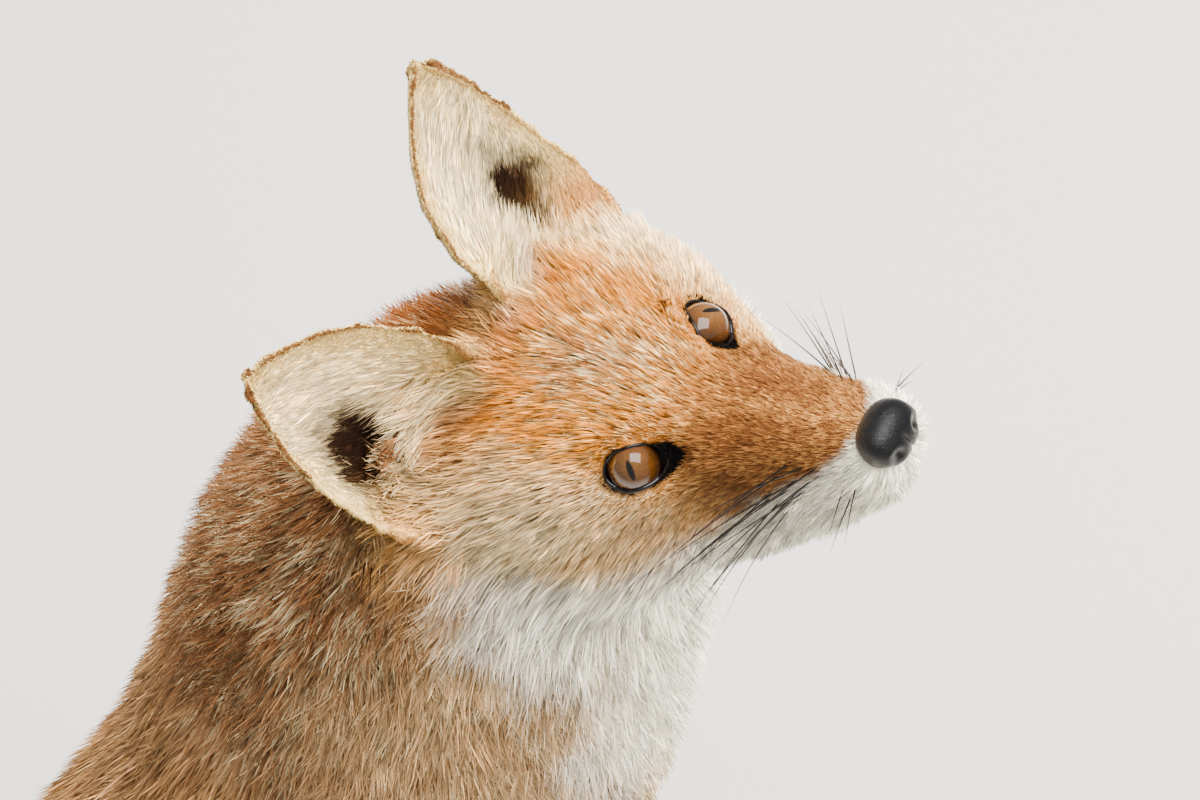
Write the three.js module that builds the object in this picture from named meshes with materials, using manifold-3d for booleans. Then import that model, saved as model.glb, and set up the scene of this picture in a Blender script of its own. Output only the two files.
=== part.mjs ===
// A life-size red fox, sitting upright with its head raised and turned to its right.
// Millimetres, +Z up. The fox faces -Y and its left side is +X. The solids reach to the tips of the coat.
import * as THREE from "three";
import { mergeVertices } from "three/addons/utils/BufferGeometryUtils.js";
import Module from "manifold-3d";

const wasm = await Module();
wasm.setup();

// ---------------------------------------------------------------- driving sizes
const GAP = 0.4; // clearance between neighbouring pieces
const EYE_CENTRE = [-3.7, 23.4, -3.4]; // of the left eyeball
const EYE_RADIUS = 9.4;
const EYE_AXIS = [0.62, 0.55, 0.56]; // where the left eye looks
const EYE_SLIT = [-0.79, 0.56, 0.24]; // from the inner corner of the left eye to the outer one
const EYE_HOLLOW = [0.6, 1.35, 1.1]; // the hollow between its lids: deep, long and high, in eye radii
const MUZZLE_CUT = 24; // where the muzzle is parted from the skull, ahead of the eyes
const MOUTH = { at: [30, 0, -32], facing: [-0.03, 0, 1] };

// The rim of the left ear: where it meets the head at each side, and its tip. Each side bulges out from
// the straight line between them and bows back. Cup is the depth of the hollow.
const EAR = {
  inner: [-51, 11, 37],
  outer: [-57, 65, 3],
  tip: [-69, 58, 93],
  bulge: 9.5,
  bow: 9,
  cup: 17,
  wall: 6,
};

// Head carriage: turned to the fox's right, raised, and tipped so that its left side is higher.
const HEAD = { at: [-47, -92, 520], turn: -57.9, raise: 35.2, tip: 16.2 };

// Colours of the coat and the bare parts.
const COAT = { color: 0xb5713a, roughness: 0.85, metalness: 0 };
const DEEP_COAT = { color: 0xa05c2c, roughness: 0.85, metalness: 0 };
const WHITE_COAT = { color: 0xe9e2d6, roughness: 0.85, metalness: 0 };
const BLACK_COAT = { color: 0x2a211d, roughness: 0.8, metalness: 0 };
const NOSE_SKIN = { color: 0x1b191b, roughness: 0.4, metalness: 0 };
const EYE_GLASS = { color: 0xa8702c, roughness: 0.08, metalness: 0 };
const CLAW_HORN = { color: 0x2e2621, roughness: 0.45, metalness: 0 };

// ---------------------------------------------------------------- shape tools
const vec = (p) => new THREE.Vector3(...p);
const degrees = THREE.MathUtils.degToRad;
const mirrored = (p, signs) => p.map((v, k) => v * signs[k]);
const curveThrough = (points) => new THREE.CatmullRomCurve3(points, false, "catmullrom", 0.5);

// Closed geometry from rings of equal point count, with a pole at each end.
function closedFromRings(rings, startPole, endPole) {
  const around = rings[0].length;
  const points = [...rings.flat(), startPole, endPole];
  const [start, end] = [points.length - 2, points.length - 1];
  const faces = [];
  rings.forEach((_, r) => {
    for (let k = 0; k < around; k++) {
      const [a, b] = [r * around + k, r * around + ((k + 1) % around)];
      if (r === 0) faces.push(start, b, a);
      if (r === rings.length - 1) faces.push(end, a, b);
      else faces.push(a, b, b + around, a, b + around, a + around);
    }
  });
  const made = new THREE.BufferGeometry().setFromPoints(points);
  made.setIndex(faces);
  return made;
}

// A form lofted along a smooth line. Each station is { at, wide, up, down }: half its width along `side`,
// and its reach to either side of the line across that. `box` over 2 squares the section. The ends are domes.
const LOFT = {
  side: [1, 0, 0],
  around: 20,
  along: 12,
  box: 2,
  domes: [0.6, 0.6],
  domeSteps: [0.5, 0.86],
  grow: 0,
};
function loft(stations, choices = {}) {
  const { side, around, along, box, domes, domeSteps, grow } = { ...LOFT, ...choices };
  const line = curveThrough(stations.map((s) => vec(s.at)));
  const sizes = curveThrough(stations.map((s) => new THREE.Vector3(s.wide, s.up, s.down ?? s.up)));
  const sideways = vec(side);
  const ring = (t, shift = 0, scale = 1) => {
    const forward = line.getTangent(t);
    const up = sideways.clone().cross(forward).normalize();
    const across = forward.clone().cross(up).normalize();
    const centre = line.getPoint(t).addScaledVector(forward, shift);
    const size = sizes.getPoint(t);
    return Array.from({ length: around }, (_, k) => {
      const angle = (2 * Math.PI * k) / around;
      const [c, s] = [Math.cos(angle), Math.sin(angle)];
      const bend = (v) => Math.sign(v) * Math.abs(v) ** (2 / box);
      const reach = (s > 0 ? size.y : size.z) + grow;
      return centre
        .clone()
        .addScaledVector(across, bend(c) * (size.x + grow) * scale)
        .addScaledVector(up, bend(s) * reach * scale);
    });
  };
  const domeRings = (t, direction, share) => {
    const size = sizes.getPoint(t);
    const depth = share * Math.min(size.x, size.y) + grow;
    return domeSteps.map((s) => ring(t, direction * depth * s, Math.sqrt(1 - s * s)));
  };
  const pole = (t, direction, share) => {
    const size = sizes.getPoint(t);
    const depth = share * Math.min(size.x, size.y) + grow;
    return line.getPoint(t).addScaledVector(line.getTangent(t), direction * depth);
  };
  const body = Array.from({ length: along + 1 }, (_, i) => ring(i / along));
  const rings = [...domeRings(0, -1, domes[0]).reverse(), ...body, ...domeRings(1, 1, domes[1])];
  return closedFromRings(rings, pole(0, -1, domes[0]), pole(1, 1, domes[1]));
}

function ellipsoid([x, y, z], [rx, ry, rz], around = 12, rows = 8) {
  return new THREE.SphereGeometry(1, around, rows).scale(rx, ry, rz).translate(x, y, z);
}

// ---------------------------------------------------------------- joining and cutting
function solid(geometry) {
  const bare = new THREE.BufferGeometry().setAttribute("position", geometry.getAttribute("position"));
  bare.setIndex(geometry.index);
  const merged = mergeVertices(bare, 1e-4);
  const made = new wasm.Manifold(
    new wasm.Mesh({
      numProp: 3,
      vertProperties: new Float32Array(merged.getAttribute("position").array),
      triVerts: new Uint32Array(merged.index.array),
    }),
  );
  if (made.volume() > 0) return made;
  return solid(turnedOut(merged));
}

function turnedOut(geometry) {
  const index = geometry.index.array;
  for (let i = 0; i < index.length; i += 3) [index[i], index[i + 1]] = [index[i + 1], index[i]];
  return geometry;
}

const join = (...solids) => solids.reduce((all, next) => all.add(next));
const cutAway = (from, ...tools) => tools.reduce((rest, tool) => rest.subtract(tool), from);
const largest = (made) => made.decompose().sort((a, b) => b.volume() - a.volume())[0];

// The half of space behind a plane through `at`, on the side its `facing` points away from.
const HALF_SPACE = 1600;
function behind(at, facing, offset = 0) {
  const normal = vec(facing).normalize();
  const block = new THREE.BoxGeometry(HALF_SPACE, HALF_SPACE, HALF_SPACE);
  block.applyQuaternion(new THREE.Quaternion().setFromUnitVectors(new THREE.Vector3(0, 0, 1), normal));
  const centre = vec(at).addScaledVector(normal, offset - HALF_SPACE / 2);
  return solid(block.translate(centre.x, centre.y, centre.z));
}

// Parts a solid by planes { at, facing }, each facing the lengths that come after it, with a gap at each cut.
function lengths(whole, planes) {
  const pieces = [];
  let rest = whole;
  for (const { at, facing } of planes) {
    pieces.push(largest(rest.intersect(behind(at, facing, -GAP / 2))));
    rest = rest.subtract(behind(at, facing, GAP / 2));
  }
  return [...pieces, largest(rest)];
}

const aboveFloor = (made) => made.subtract(behind([0, 0, 0], [0, 0, 1]));

function meshOf(name, made, finish) {
  const data = made.getMesh();
  const geometry = new THREE.BufferGeometry();
  geometry.setAttribute("position", new THREE.BufferAttribute(new Float32Array(data.vertProperties), 3));
  geometry.setIndex(new THREE.BufferAttribute(new Uint32Array(data.triVerts), 1));
  const mesh = new THREE.Mesh(geometry, new THREE.MeshStandardMaterial(finish));
  mesh.name = name;
  return mesh;
}

// ---------------------------------------------------------------- head, in its own frame
// x runs forward along the muzzle, y to the fox's left and z up; the origin is midway between the eyes.
const headStation = (x, z, wide, up, down) => ({ at: [x, 0, z], wide, up, down });

const upperHead = (grow = 0) =>
  loft(
    [
      headStation(-82, -15, 42, 28, 38),
      headStation(-66, -14, 60, 39, 52),
      headStation(-48, -13, 65, 43, 55),
      headStation(-30, -13, 59, 41, 52),
      headStation(-14, -13, 48, 34, 45),
      headStation(0, -14, 37.5, 23.5, 35),
      headStation(12, -15, 30, 18, 27),
      headStation(26, -17, 24, 17, 21),
      headStation(42, -19, 20.5, 16.5, 17),
      headStation(60, -19, 18.8, 15, 15),
      headStation(75, -18, 17, 12.5, 13),
      headStation(84.5, -18, 11.5, 8, 9),
    ],
    { side: [0, -1, 0], around: 18, along: 12, box: 2.25, domes: [0.6, 0.45], domeSteps: [0.7], grow },
  );

const jaw = (grow = 0) =>
  loft(
    [
      headStation(-42, -54, 46, 24, 27),
      headStation(-14, -48, 37, 18, 26),
      headStation(14, -42, 24, 12, 20),
      headStation(38, -38, 17, 9, 13),
      headStation(58, -36, 14.5, 7, 8.5),
      headStation(70, -35, 10.5, 5, 6.5),
    ],
    { side: [0, -1, 0], around: 10, along: 5, box: 2.2, domeSteps: [0.7], grow },
  );

const cheek = (side, grow = 0) =>
  loft(
    [
      { at: [-10, 25 * side, -33], wide: 19, up: 16 },
      { at: [-32, 34 * side, -37], wide: 29, up: 24 },
      { at: [-54, 43 * side, -41], wide: 28, up: 25 },
      { at: [-72, 51 * side, -48], wide: 18, up: 17 },
    ],
    { side: [0, 0, 1], around: 10, along: 4, domeSteps: [0.7], grow },
  );

const brow = (side) => ellipsoid([-14, 22 * side, 9], [12, 9, 8], 7, 5);

// One ear: a leaf-shaped cup hung between its two rims, deepest along its middle and open to the front.
const EAR_COLUMNS = 6;
const EAR_ROWS = 8;
const EAR_ROOT = -0.35; // how far the cup runs down inside the head, as a share of its height
const EAR_TOP = 0.965; // where the last row lies under the tip

function ear(side) {
  const [inner, outer, tip] = [EAR.inner, EAR.outer, EAR.tip].map((p) => vec(mirrored(p, [1, side, 1])));
  const middle = inner.clone().add(outer).multiplyScalar(0.5);
  const axis = tip.clone().sub(middle);
  const height = axis.length();
  axis.normalize();
  const across = outer.clone().sub(inner);
  across.addScaledVector(axis, -across.dot(axis)).normalize();
  const front = across.clone().cross(axis).multiplyScalar(side);
  const rim = (base, outward, s) => {
    if (s < 0) return base.clone().addScaledVector(axis, s * height);
    const swell = Math.sin(Math.PI * s ** 0.85);
    const point = base.clone().lerp(tip, s).addScaledVector(across, outward * EAR.bulge * swell);
    return point.addScaledVector(front, -EAR.bow * swell);
  };
  const hollow = (s, v) => EAR.cup * (1 - 0.8 * Math.max(s, 0)) * (1 - v * v);
  const wall = (s, v) => EAR.wall * (1 - 0.35 * v * v) * (1 - 0.4 * Math.max(s, 0));
  const surface = (s, v, depth) => {
    const between = rim(inner, -1, s).lerp(rim(outer, 1, s), (v + 1) / 2);
    return between.addScaledVector(front, -depth);
  };
  const loop = (s) => {
    const steps = Array.from({ length: EAR_COLUMNS + 1 }, (_, k) => (2 * k) / EAR_COLUMNS - 1);
    const lining = steps.map((v) => surface(s, v, hollow(s, v)));
    const back = steps.map((v) => surface(s, v, hollow(s, v) + wall(s, v)));
    return [...lining, ...back.reverse()];
  };
  const share = (k) => EAR_ROOT + (EAR_TOP - EAR_ROOT) * Math.sin((0.5 * Math.PI * k) / (EAR_ROWS - 1));
  const rows = Array.from({ length: EAR_ROWS }, (_, k) => loop(share(k)));
  return closedFromRings(rows, surface(EAR_ROOT, 0, EAR.cup), surface(1, 0, EAR.wall / 3));
}

const eyeball = (side, grow = 0) =>
  ellipsoid(mirrored(EYE_CENTRE, [1, side, 1]), Array(3).fill(EYE_RADIUS + grow), 10, 7);

// The hollow in the coat in front of an eye, longest from corner to corner.
const eyeOpening = (side) => {
  const axis = vec(EYE_AXIS).normalize();
  const across = axis.clone().cross(vec(EYE_SLIT)).normalize();
  const slit = across.clone().cross(axis);
  const made = new THREE.SphereGeometry(1, 9, 6).scale(...EYE_HOLLOW.map((k) => k * EYE_RADIUS));
  made.applyMatrix4(new THREE.Matrix4().makeBasis(axis, slit, across));
  made.translate(...vec(EYE_CENTRE).addScaledVector(axis, EYE_RADIUS));
  return side > 0 ? made : made.scale(1, -1, 1);
};

const noseForm = (grow = 0) =>
  loft(
    [
      headStation(76, -11, 8.5, 6, 7.5),
      headStation(82.5, -12.5, 10.8, 8, 9.5),
      headStation(87.5, -14.5, 9.5, 6.5, 8),
    ],
    { side: [0, -1, 0], around: 10, along: 2, box: 2.3, domes: [0.2, 0.45], domeSteps: [0.7], grow },
  );

function makeHead(placing) {
  const sides = [1, -1];
  const cheeks = (grow) => sides.map((s) => solid(cheek(s, grow)));
  const outline = (grow) => join(solid(upperHead(grow)), solid(jaw(grow)), ...cheeks(grow));
  const skull = join(outline(0), ...sides.map((s) => solid(brow(s))));
  const [rear, front] = lengths(skull, [{ at: [MUZZLE_CUT, 0, 0], facing: [1, 0, 0] }]);
  const [jawFront, upperFront] = lengths(front, [MOUTH]);
  const sockets = sides.flatMap((s) => [solid(eyeball(s, GAP)), solid(eyeOpening(s))]);
  const clear = outline(GAP);
  const nape = solid(torsoForm(GAP)).transform([...placing.clone().invert().elements]);
  const earPiece = (side) => largest(cutAway(solid(ear(side)), clear, nape));
  return {
    outline: clear.transform([...placing.elements]),
    meshes: [
      meshOf("head", largest(cutAway(rear, ...sockets)), COAT),
      meshOf("muzzle", largest(cutAway(upperFront, solid(noseForm(GAP)))), COAT),
      meshOf("lower_jaw", jawFront, WHITE_COAT),
      meshOf("nose", solid(noseForm()), NOSE_SKIN),
      meshOf("eye_left", solid(eyeball(1)), EYE_GLASS),
      meshOf("eye_right", solid(eyeball(-1)), EYE_GLASS),
      meshOf("ear_left", earPiece(1), COAT),
      meshOf("ear_right", earPiece(-1), COAT),
    ],
  };
}

// ---------------------------------------------------------------- torso
// One form from the top of the neck down to the rump: up is towards the back, down towards the chest.
const torsoForm = (grow = 0) =>
  loft(
    [
      { at: [-12, -78, 492], wide: 40, up: 38, down: 48 },
      { at: [-8, -68, 466], wide: 56, up: 60, down: 66 },
      { at: [-2, -52, 426], wide: 71, up: 86, down: 83 },
      { at: [0, -36, 380], wide: 78, up: 95, down: 92 },
      { at: [0, -20, 332], wide: 83, up: 95, down: 103 },
      { at: [0, -4, 292], wide: 85, up: 90, down: 108 },
      { at: [0, 22, 248], wide: 84, up: 85, down: 98 },
      { at: [0, 58, 204], wide: 82, up: 82, down: 83 },
      { at: [0, 98, 156], wide: 83, up: 83, down: 78 },
      { at: [0, 132, 104], wide: 86, up: 87, down: 80 },
      { at: [0, 146, 54], wide: 82, up: 84, down: 74 },
    ],
    { around: 16, along: 13, domes: [0.6, 0.75], grow },
  );

const TORSO_CUTS = [
  { at: [0, -26, 355], facing: [0, -0.36, 0.93] }, // neck above, chest below
  { at: [0, 40, 228], facing: [0, -0.66, 0.75] }, // chest above, loin below
  { at: [0, 120, 130], facing: [0, -0.5, 0.87] }, // loin above, rump below
];

// ---------------------------------------------------------------- limbs; side is +1 on the fox's left
const upperArm = (side, grow = 0) =>
  loft(
    [
      { at: [46 * side, 0, 352], wide: 25, up: 34 },
      { at: [59 * side, -26, 310], wide: 33, up: 47 },
      { at: [61 * side, -34, 268], wide: 32, up: 48 },
      { at: [55 * side, -18, 220], wide: 26, up: 37 },
    ],
    { around: 12, along: 4, domes: [0.7, 0.8], domeSteps: [0.7], grow },
  );

const foreArm = (side, grow = 0) =>
  loft(
    [
      { at: [53 * side, -18, 226], wide: 24, up: 31 },
      { at: [49 * side, -26, 186], wide: 19, up: 23 },
      { at: [45 * side, -31, 136], wide: 15.5, up: 17.5 },
      { at: [43 * side, -35, 92], wide: 14.5, up: 16 },
      { at: [42 * side, -41, 52], wide: 15, up: 16 },
      { at: [42 * side, -48, 24], wide: 15.5, up: 16 },
    ],
    { around: 11, along: 6, domes: [0.7, 0.4], domeSteps: [0.7], grow },
  );

const thigh = (side, grow = 0) =>
  loft(
    [
      { at: [50 * side, 194, 88], wide: 34, up: 58, down: 60 },
      { at: [61 * side, 158, 98], wide: 39, up: 80, down: 80 },
      { at: [69 * side, 112, 106], wide: 37, up: 74, down: 76 },
      { at: [74 * side, 72, 112], wide: 28, up: 46, down: 50 },
    ],
    { around: 13, along: 4, domes: [0.8, 0.9], domeSteps: [0.7], grow },
  );

const shank = (side, grow = 0) =>
  loft(
    [
      { at: [78 * side, 78, 90], wide: 25, up: 38 },
      { at: [83 * side, 116, 70], wide: 24, up: 36 },
      { at: [86 * side, 158, 46], wide: 20, up: 27 },
      { at: [86 * side, 188, 27], wide: 16, up: 20 },
    ],
    { around: 11, along: 4, domes: [0.7, 0.8], domeSteps: [0.7], grow },
  );

// A foot: the instep, four toes side by side and their claws. The toes are placed from its front end.
const TOE_SPREAD = 9.4;
const TOES = [-1.5, -0.5, 0.5, 1.5];
const TOE_SIZE = [6.6, 13, 10.5];

const FEET = {
  fore: (side) => ({
    instep: [
      { at: [42 * side, -40, 38], wide: 15.5, up: 15 },
      { at: [42 * side, -54, 17], wide: 17, up: 16 },
      { at: [42 * side, -68, 9.5], wide: 16, up: 12.5 },
    ],
    front: [42 * side, -75, 8],
  }),
  hind: (side) => ({
    instep: [
      { at: [86 * side, 198, 20], wide: 14, up: 20 },
      { at: [86 * side, 140, 17], wide: 15, up: 18 },
      { at: [84 * side, 84, 13], wide: 16, up: 15 },
      { at: [82 * side, 54, 10.5], wide: 16, up: 12.5 },
    ],
    front: [82 * side, 44, 8],
  }),
};

const WRIST = { at: [0, 0, 46], facing: [0, 0, 1] }; // forearm above, paw below
const HOCK = { at: [0, 0, 37], facing: [0, 0, 1] }; // shank above, foot with its heel below

// The two middle toes reach further forward than the outer ones.
const TOE_STAGGER = 3.6;
const toeCentre = ([x, y, z], toe) => [x + TOE_SPREAD * toe, y + TOE_STAGGER * toe * toe, z];
const toeForm = (centre, grow = 0) => ellipsoid(centre, TOE_SIZE.map((r) => r + grow), 6, 4);

const clawForm = ([x, y, z]) =>
  loft(
    [
      { at: [x, y - TOE_SIZE[1] - 2 * GAP, z + 1], wide: 1.7, up: 2.6 },
      { at: [x, y - TOE_SIZE[1] - 4, z + 0.6], wide: 1.3, up: 2 },
      { at: [x, y - TOE_SIZE[1] - 7.5, z - 3.5], wide: 0.6, up: 0.8 },
    ],
    { around: 4, along: 2, domes: [0, 0.9], domeSteps: [] },
  );

const footForm = ({ instep, front }, grow = 0) =>
  join(
    solid(loft(instep, { around: 8, along: 3, domes: [0.7, 0.6], domeSteps: [0.7], grow })),
    ...TOES.map((toe) => solid(toeForm(toeCentre(front, toe), grow))),
  );

const clawMeshes = (foot, name) =>
  TOES.map((toe, n) => {
    const claw = solid(clawForm(toeCentre(foot.front, toe)));
    return meshOf(`claw_${name}_${n + 1}`, claw, CLAW_HORN);
  });

// ---------------------------------------------------------------- tail: laid round the fox's right side
const TAIL_LINE = [
  [0, 226, 62],
  [-10, 268, 54],
  [-52, 306, 56],
  [-114, 296, 56],
  [-162, 244, 56],
  [-176, 172, 54],
  [-164, 100, 48],
  [-138, 46, 36],
];
const TAIL_RADII = [34, 40, 50, 58, 58, 56, 45, 20];

const tailForm = (grow = 0) =>
  loft(
    TAIL_LINE.map((at, k) => ({ at, wide: TAIL_RADII[k], up: TAIL_RADII[k] })),
    { side: [0, 0, 1], around: 11, along: 13, domes: [0.5, 1.2], grow },
  );

const TAIL_CUTS = [0.2, 0.42, 0.62, 0.8];
const TAIL_CUT_REACH = [96, 96, 200];
function makeTail(neighbours) {
  const line = curveThrough(TAIL_LINE.map(vec));
  const whole = cutAway(aboveFloor(solid(tailForm())), ...neighbours);
  const lengthsOfTail = [];
  let rest = whole;
  // The tail bends back on itself, so each cut works only inside a ball round its own place.
  TAIL_CUTS.forEach((t) => {
    const [at, facing] = [line.getPoint(t).toArray(), line.getTangent(t).toArray()];
    const near = solid(ellipsoid(at, TAIL_CUT_REACH, 24, 12));
    const slice = cutAway(near.intersect(behind(at, facing, GAP / 2)), behind(at, facing, -GAP / 2));
    const [one, two] = rest.subtract(slice).decompose().sort((a, b) => b.volume() - a.volume());
    const [before, after] = centreShare(one, line) > t ? [two, one] : [one, two];
    lengthsOfTail.push(before);
    rest = after;
  });
  return [...lengthsOfTail, rest].map((piece, n, all) =>
    meshOf(`tail_${n + 1}`, piece, n === all.length - 1 ? WHITE_COAT : DEEP_COAT),
  );
}

// Where along a line (0 to 1) the middle of a solid's box lies.
function centreShare(piece, line) {
  const { min, max } = piece.boundingBox();
  const centre = vec(min).add(vec(max)).multiplyScalar(0.5);
  const steps = Array.from({ length: 101 }, (_, k) => k / 100);
  const nearest = steps.map((t) => [line.getPoint(t).distanceTo(centre), t]).sort((a, b) => a[0] - b[0]);
  return nearest[0][1];
}

// ---------------------------------------------------------------- assembly
const fox = new THREE.Group();

const headGroup = new THREE.Group();
const turned = new THREE.Matrix4().makeRotationZ(degrees(-90 + HEAD.turn));
const raised = new THREE.Matrix4().makeRotationY(degrees(-HEAD.raise));
const tipped = new THREE.Matrix4().makeRotationX(degrees(HEAD.tip));
headGroup.quaternion.setFromRotationMatrix(turned.multiply(raised).multiply(tipped));
headGroup.position.set(...HEAD.at);
headGroup.updateMatrix();
const head = makeHead(headGroup.matrix);
headGroup.add(...head.meshes);
fox.add(headGroup);

const torso = aboveFloor(cutAway(solid(torsoForm()), head.outline));
const [rump, loin, chest, neck] = lengths(torso, TORSO_CUTS.slice().reverse());
fox.add(meshOf("neck", neck, COAT));
fox.add(meshOf("chest", chest, COAT));
fox.add(meshOf("loin", loin, COAT));
fox.add(meshOf("rump", rump, COAT));

const torsoClear = solid(torsoForm(GAP));
const besideTail = [torsoClear];
for (const [label, side] of [["left", 1], ["right", -1]]) {
  const armClear = [torsoClear, solid(upperArm(side, GAP))];
  const legClear = [torsoClear, solid(thigh(side, GAP))];
  const foreLeg = aboveFloor(join(solid(foreArm(side)), footForm(FEET.fore(side))));
  const hindLeg = aboveFloor(join(solid(shank(side)), footForm(FEET.hind(side))));
  const [forePaw, forearm] = lengths(cutAway(foreLeg, ...armClear), [WRIST]);
  const [hindPaw, lowerLeg] = lengths(cutAway(hindLeg, ...legClear), [HOCK]);
  const pieces = {
    upper_arm: [cutAway(solid(upperArm(side)), torsoClear), COAT],
    forearm: [forearm, BLACK_COAT],
    fore_paw: [forePaw, BLACK_COAT],
    thigh: [cutAway(aboveFloor(solid(thigh(side))), torsoClear), COAT],
    shank: [lowerLeg, COAT],
    hind_paw: [hindPaw, BLACK_COAT],
  };
  for (const [name, [made, finish]] of Object.entries(pieces))
    fox.add(meshOf(`${name}_${label}`, largest(made), finish));
  fox.add(...clawMeshes(FEET.fore(side), `fore_${label}`));
  fox.add(...clawMeshes(FEET.hind(side), `hind_${label}`));
  besideTail.push(solid(thigh(side, GAP)), solid(shank(side, GAP)), footForm(FEET.hind(side), GAP));
}
fox.add(...makeTail(besideTail));

// The origin is on the floor, under the middle of the whole animal.
const box = new THREE.Box3().setFromObject(fox, true);
const middle = box.getCenter(new THREE.Vector3());
fox.position.set(-middle.x, -middle.y, -box.min.z);

export default fox;
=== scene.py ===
# A life-size red fox sitting with its head raised: one skin, a coat of fine tufts over it, and its eyes,
# lids, nose, whiskers and claws. Blender 4.5.
import math
import bpy
import bmesh
import numpy as np
from mathutils import Matrix, Vector
from mathutils.bvhtree import BVHTree
from mathutils.kdtree import KDTree


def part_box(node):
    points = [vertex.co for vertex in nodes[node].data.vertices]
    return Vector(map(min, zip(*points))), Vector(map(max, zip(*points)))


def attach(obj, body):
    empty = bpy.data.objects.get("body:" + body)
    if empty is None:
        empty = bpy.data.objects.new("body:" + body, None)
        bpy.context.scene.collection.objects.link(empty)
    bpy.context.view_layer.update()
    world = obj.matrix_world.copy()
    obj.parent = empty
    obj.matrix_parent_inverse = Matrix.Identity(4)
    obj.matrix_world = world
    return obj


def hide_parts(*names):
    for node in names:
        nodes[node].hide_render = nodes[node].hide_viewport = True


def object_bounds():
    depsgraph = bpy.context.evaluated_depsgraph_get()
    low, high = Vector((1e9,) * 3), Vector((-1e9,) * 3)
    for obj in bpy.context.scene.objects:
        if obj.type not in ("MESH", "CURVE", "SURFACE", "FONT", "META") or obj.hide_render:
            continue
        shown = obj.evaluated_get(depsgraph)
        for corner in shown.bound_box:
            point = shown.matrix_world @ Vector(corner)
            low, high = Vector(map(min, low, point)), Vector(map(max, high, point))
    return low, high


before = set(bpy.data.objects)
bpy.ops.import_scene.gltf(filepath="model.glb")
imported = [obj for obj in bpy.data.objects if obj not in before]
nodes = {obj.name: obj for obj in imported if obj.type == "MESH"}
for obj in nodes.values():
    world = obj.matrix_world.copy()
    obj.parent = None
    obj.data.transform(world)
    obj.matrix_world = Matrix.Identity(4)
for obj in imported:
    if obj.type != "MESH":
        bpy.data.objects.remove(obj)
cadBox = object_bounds()
mm = 0.001


# small helpers
def smoothStep(low, high, x):
    t = np.clip((x - low) / (high - low), 0.0, 1.0)
    return t * t * (3 - 2 * t)


def hill(distance, reach):
    return np.exp(-(distance / reach) ** 2)


def unit(v):
    return v / np.maximum(np.linalg.norm(v, axis=-1, keepdims=True), 1e-9)


def mix(a, b, share):
    share = np.asarray(share)[..., None]
    return np.asarray(a) * (1 - share) + np.asarray(b) * share


def tone(red, green, blue):  # a colour as seen, deepened a little because the soft light greys it
    seen = np.array((red, green, blue)) / 255
    linear = np.where(seen < 0.04, seen / 12.92, ((seen + 0.055) / 1.055) ** 2.4)
    return np.minimum(1.03 * linear ** 1.22, 0.95)


def flipped(vectors, side):  # y taken times the side, row by row
    return vectors * np.stack([np.ones_like(side), side, np.ones_like(side)], 1)


def leftward(points):  # both sides of the head laid on its left
    return points * (1, 0, 1) + np.abs(points) * (0, 1, 0)


def toSegment(points, a, b):  # distance from the straight line between two places
    a, b = np.array(a, float), np.array(b, float)
    share = np.clip((points - a) @ (b - a) / ((b - a) @ (b - a)), 0, 1)
    return np.linalg.norm(points - a - share[:, None] * (b - a), axis=1)


def cloud(points, cell, seed):  # soft random values from -1 to 1, about one blob to a cell
    table = np.random.default_rng(seed).uniform(-1, 1, 4096)
    grid = np.asarray(points) / cell
    base = np.floor(grid).astype(np.int64)
    part = grid - base
    part = part * part * (3 - 2 * part)
    total = 0
    for corner in range(8):
        step = np.array([corner & 1, corner >> 1 & 1, corner >> 2])
        key = (base + step) @ np.array([73856093, 19349663, 83492791]) % 4096
        total = total + table[key] * np.prod(np.where(step, part, 1 - part), axis=1)
    return total


def middle(node):
    low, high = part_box(node)
    return np.array((low + high) / 2)


def nodeArrays(node):
    mesh = nodes[node].data
    points = np.zeros(len(mesh.vertices) * 3)
    mesh.vertices.foreach_get("co", points)
    mesh.calc_loop_triangles()
    corners = np.zeros(len(mesh.loop_triangles) * 3, np.int32)
    mesh.loop_triangles.foreach_get("vertices", corners)
    return points.reshape(-1, 3), corners.reshape(-1, 3)


def meshPiece(name, points, triangles, smooth=True):
    mesh = bpy.data.meshes.new(name)
    mesh.vertices.add(len(points))
    mesh.vertices.foreach_set("co", np.asarray(points, np.float32).ravel())
    mesh.loops.add(len(triangles) * 3)
    mesh.loops.foreach_set("vertex_index", np.asarray(triangles, np.int32).ravel())
    mesh.polygons.add(len(triangles))
    mesh.polygons.foreach_set("loop_start", np.arange(len(triangles), dtype=np.int32) * 3)
    mesh.update(calc_edges=True)
    mesh.polygons.foreach_set("use_smooth", np.full(len(triangles), smooth))
    piece = bpy.data.objects.new(name, mesh)
    bpy.context.scene.collection.objects.link(piece)
    return piece


def paintPoints(piece, name, values):  # one colour or vector for each vertex
    layer = piece.data.attributes.new(name, "FLOAT_VECTOR", "POINT")
    layer.data.foreach_set("vector", np.asarray(values, np.float32).ravel())


# the head's own frame: x along the muzzle, y to the fox's left, z up, from between the eyes (mm)
headPlan = {
    "eyeCentre": (-3.7, 23.4, -3.4),  # left eyeball
    "eyeRadius": 9.4,
    "noseCentre": (82.0, 0.0, -13.2),  # middle of the nose solid
    "eyeAxis": (0.62, 0.55, 0.56),
    "eyeSlit": (-0.79, 0.56, 0.24),
}
eyeMid = (middle("eye_left") + middle("eye_right")) / 2
headLeft = unit(middle("eye_left") - middle("eye_right"))
towardNose = unit(middle("nose") - eyeMid)
dip = math.atan2(headPlan["eyeCentre"][2] - headPlan["noseCentre"][2],
                 headPlan["noseCentre"][0] - headPlan["eyeCentre"][0])
raised = unit(np.cross(towardNose, headLeft))
headForward = towardNose * math.cos(dip) + raised * math.sin(dip)
headUp = unit(np.cross(headForward, headLeft))
headAxes = np.array([headForward, headLeft, headUp])
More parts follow.
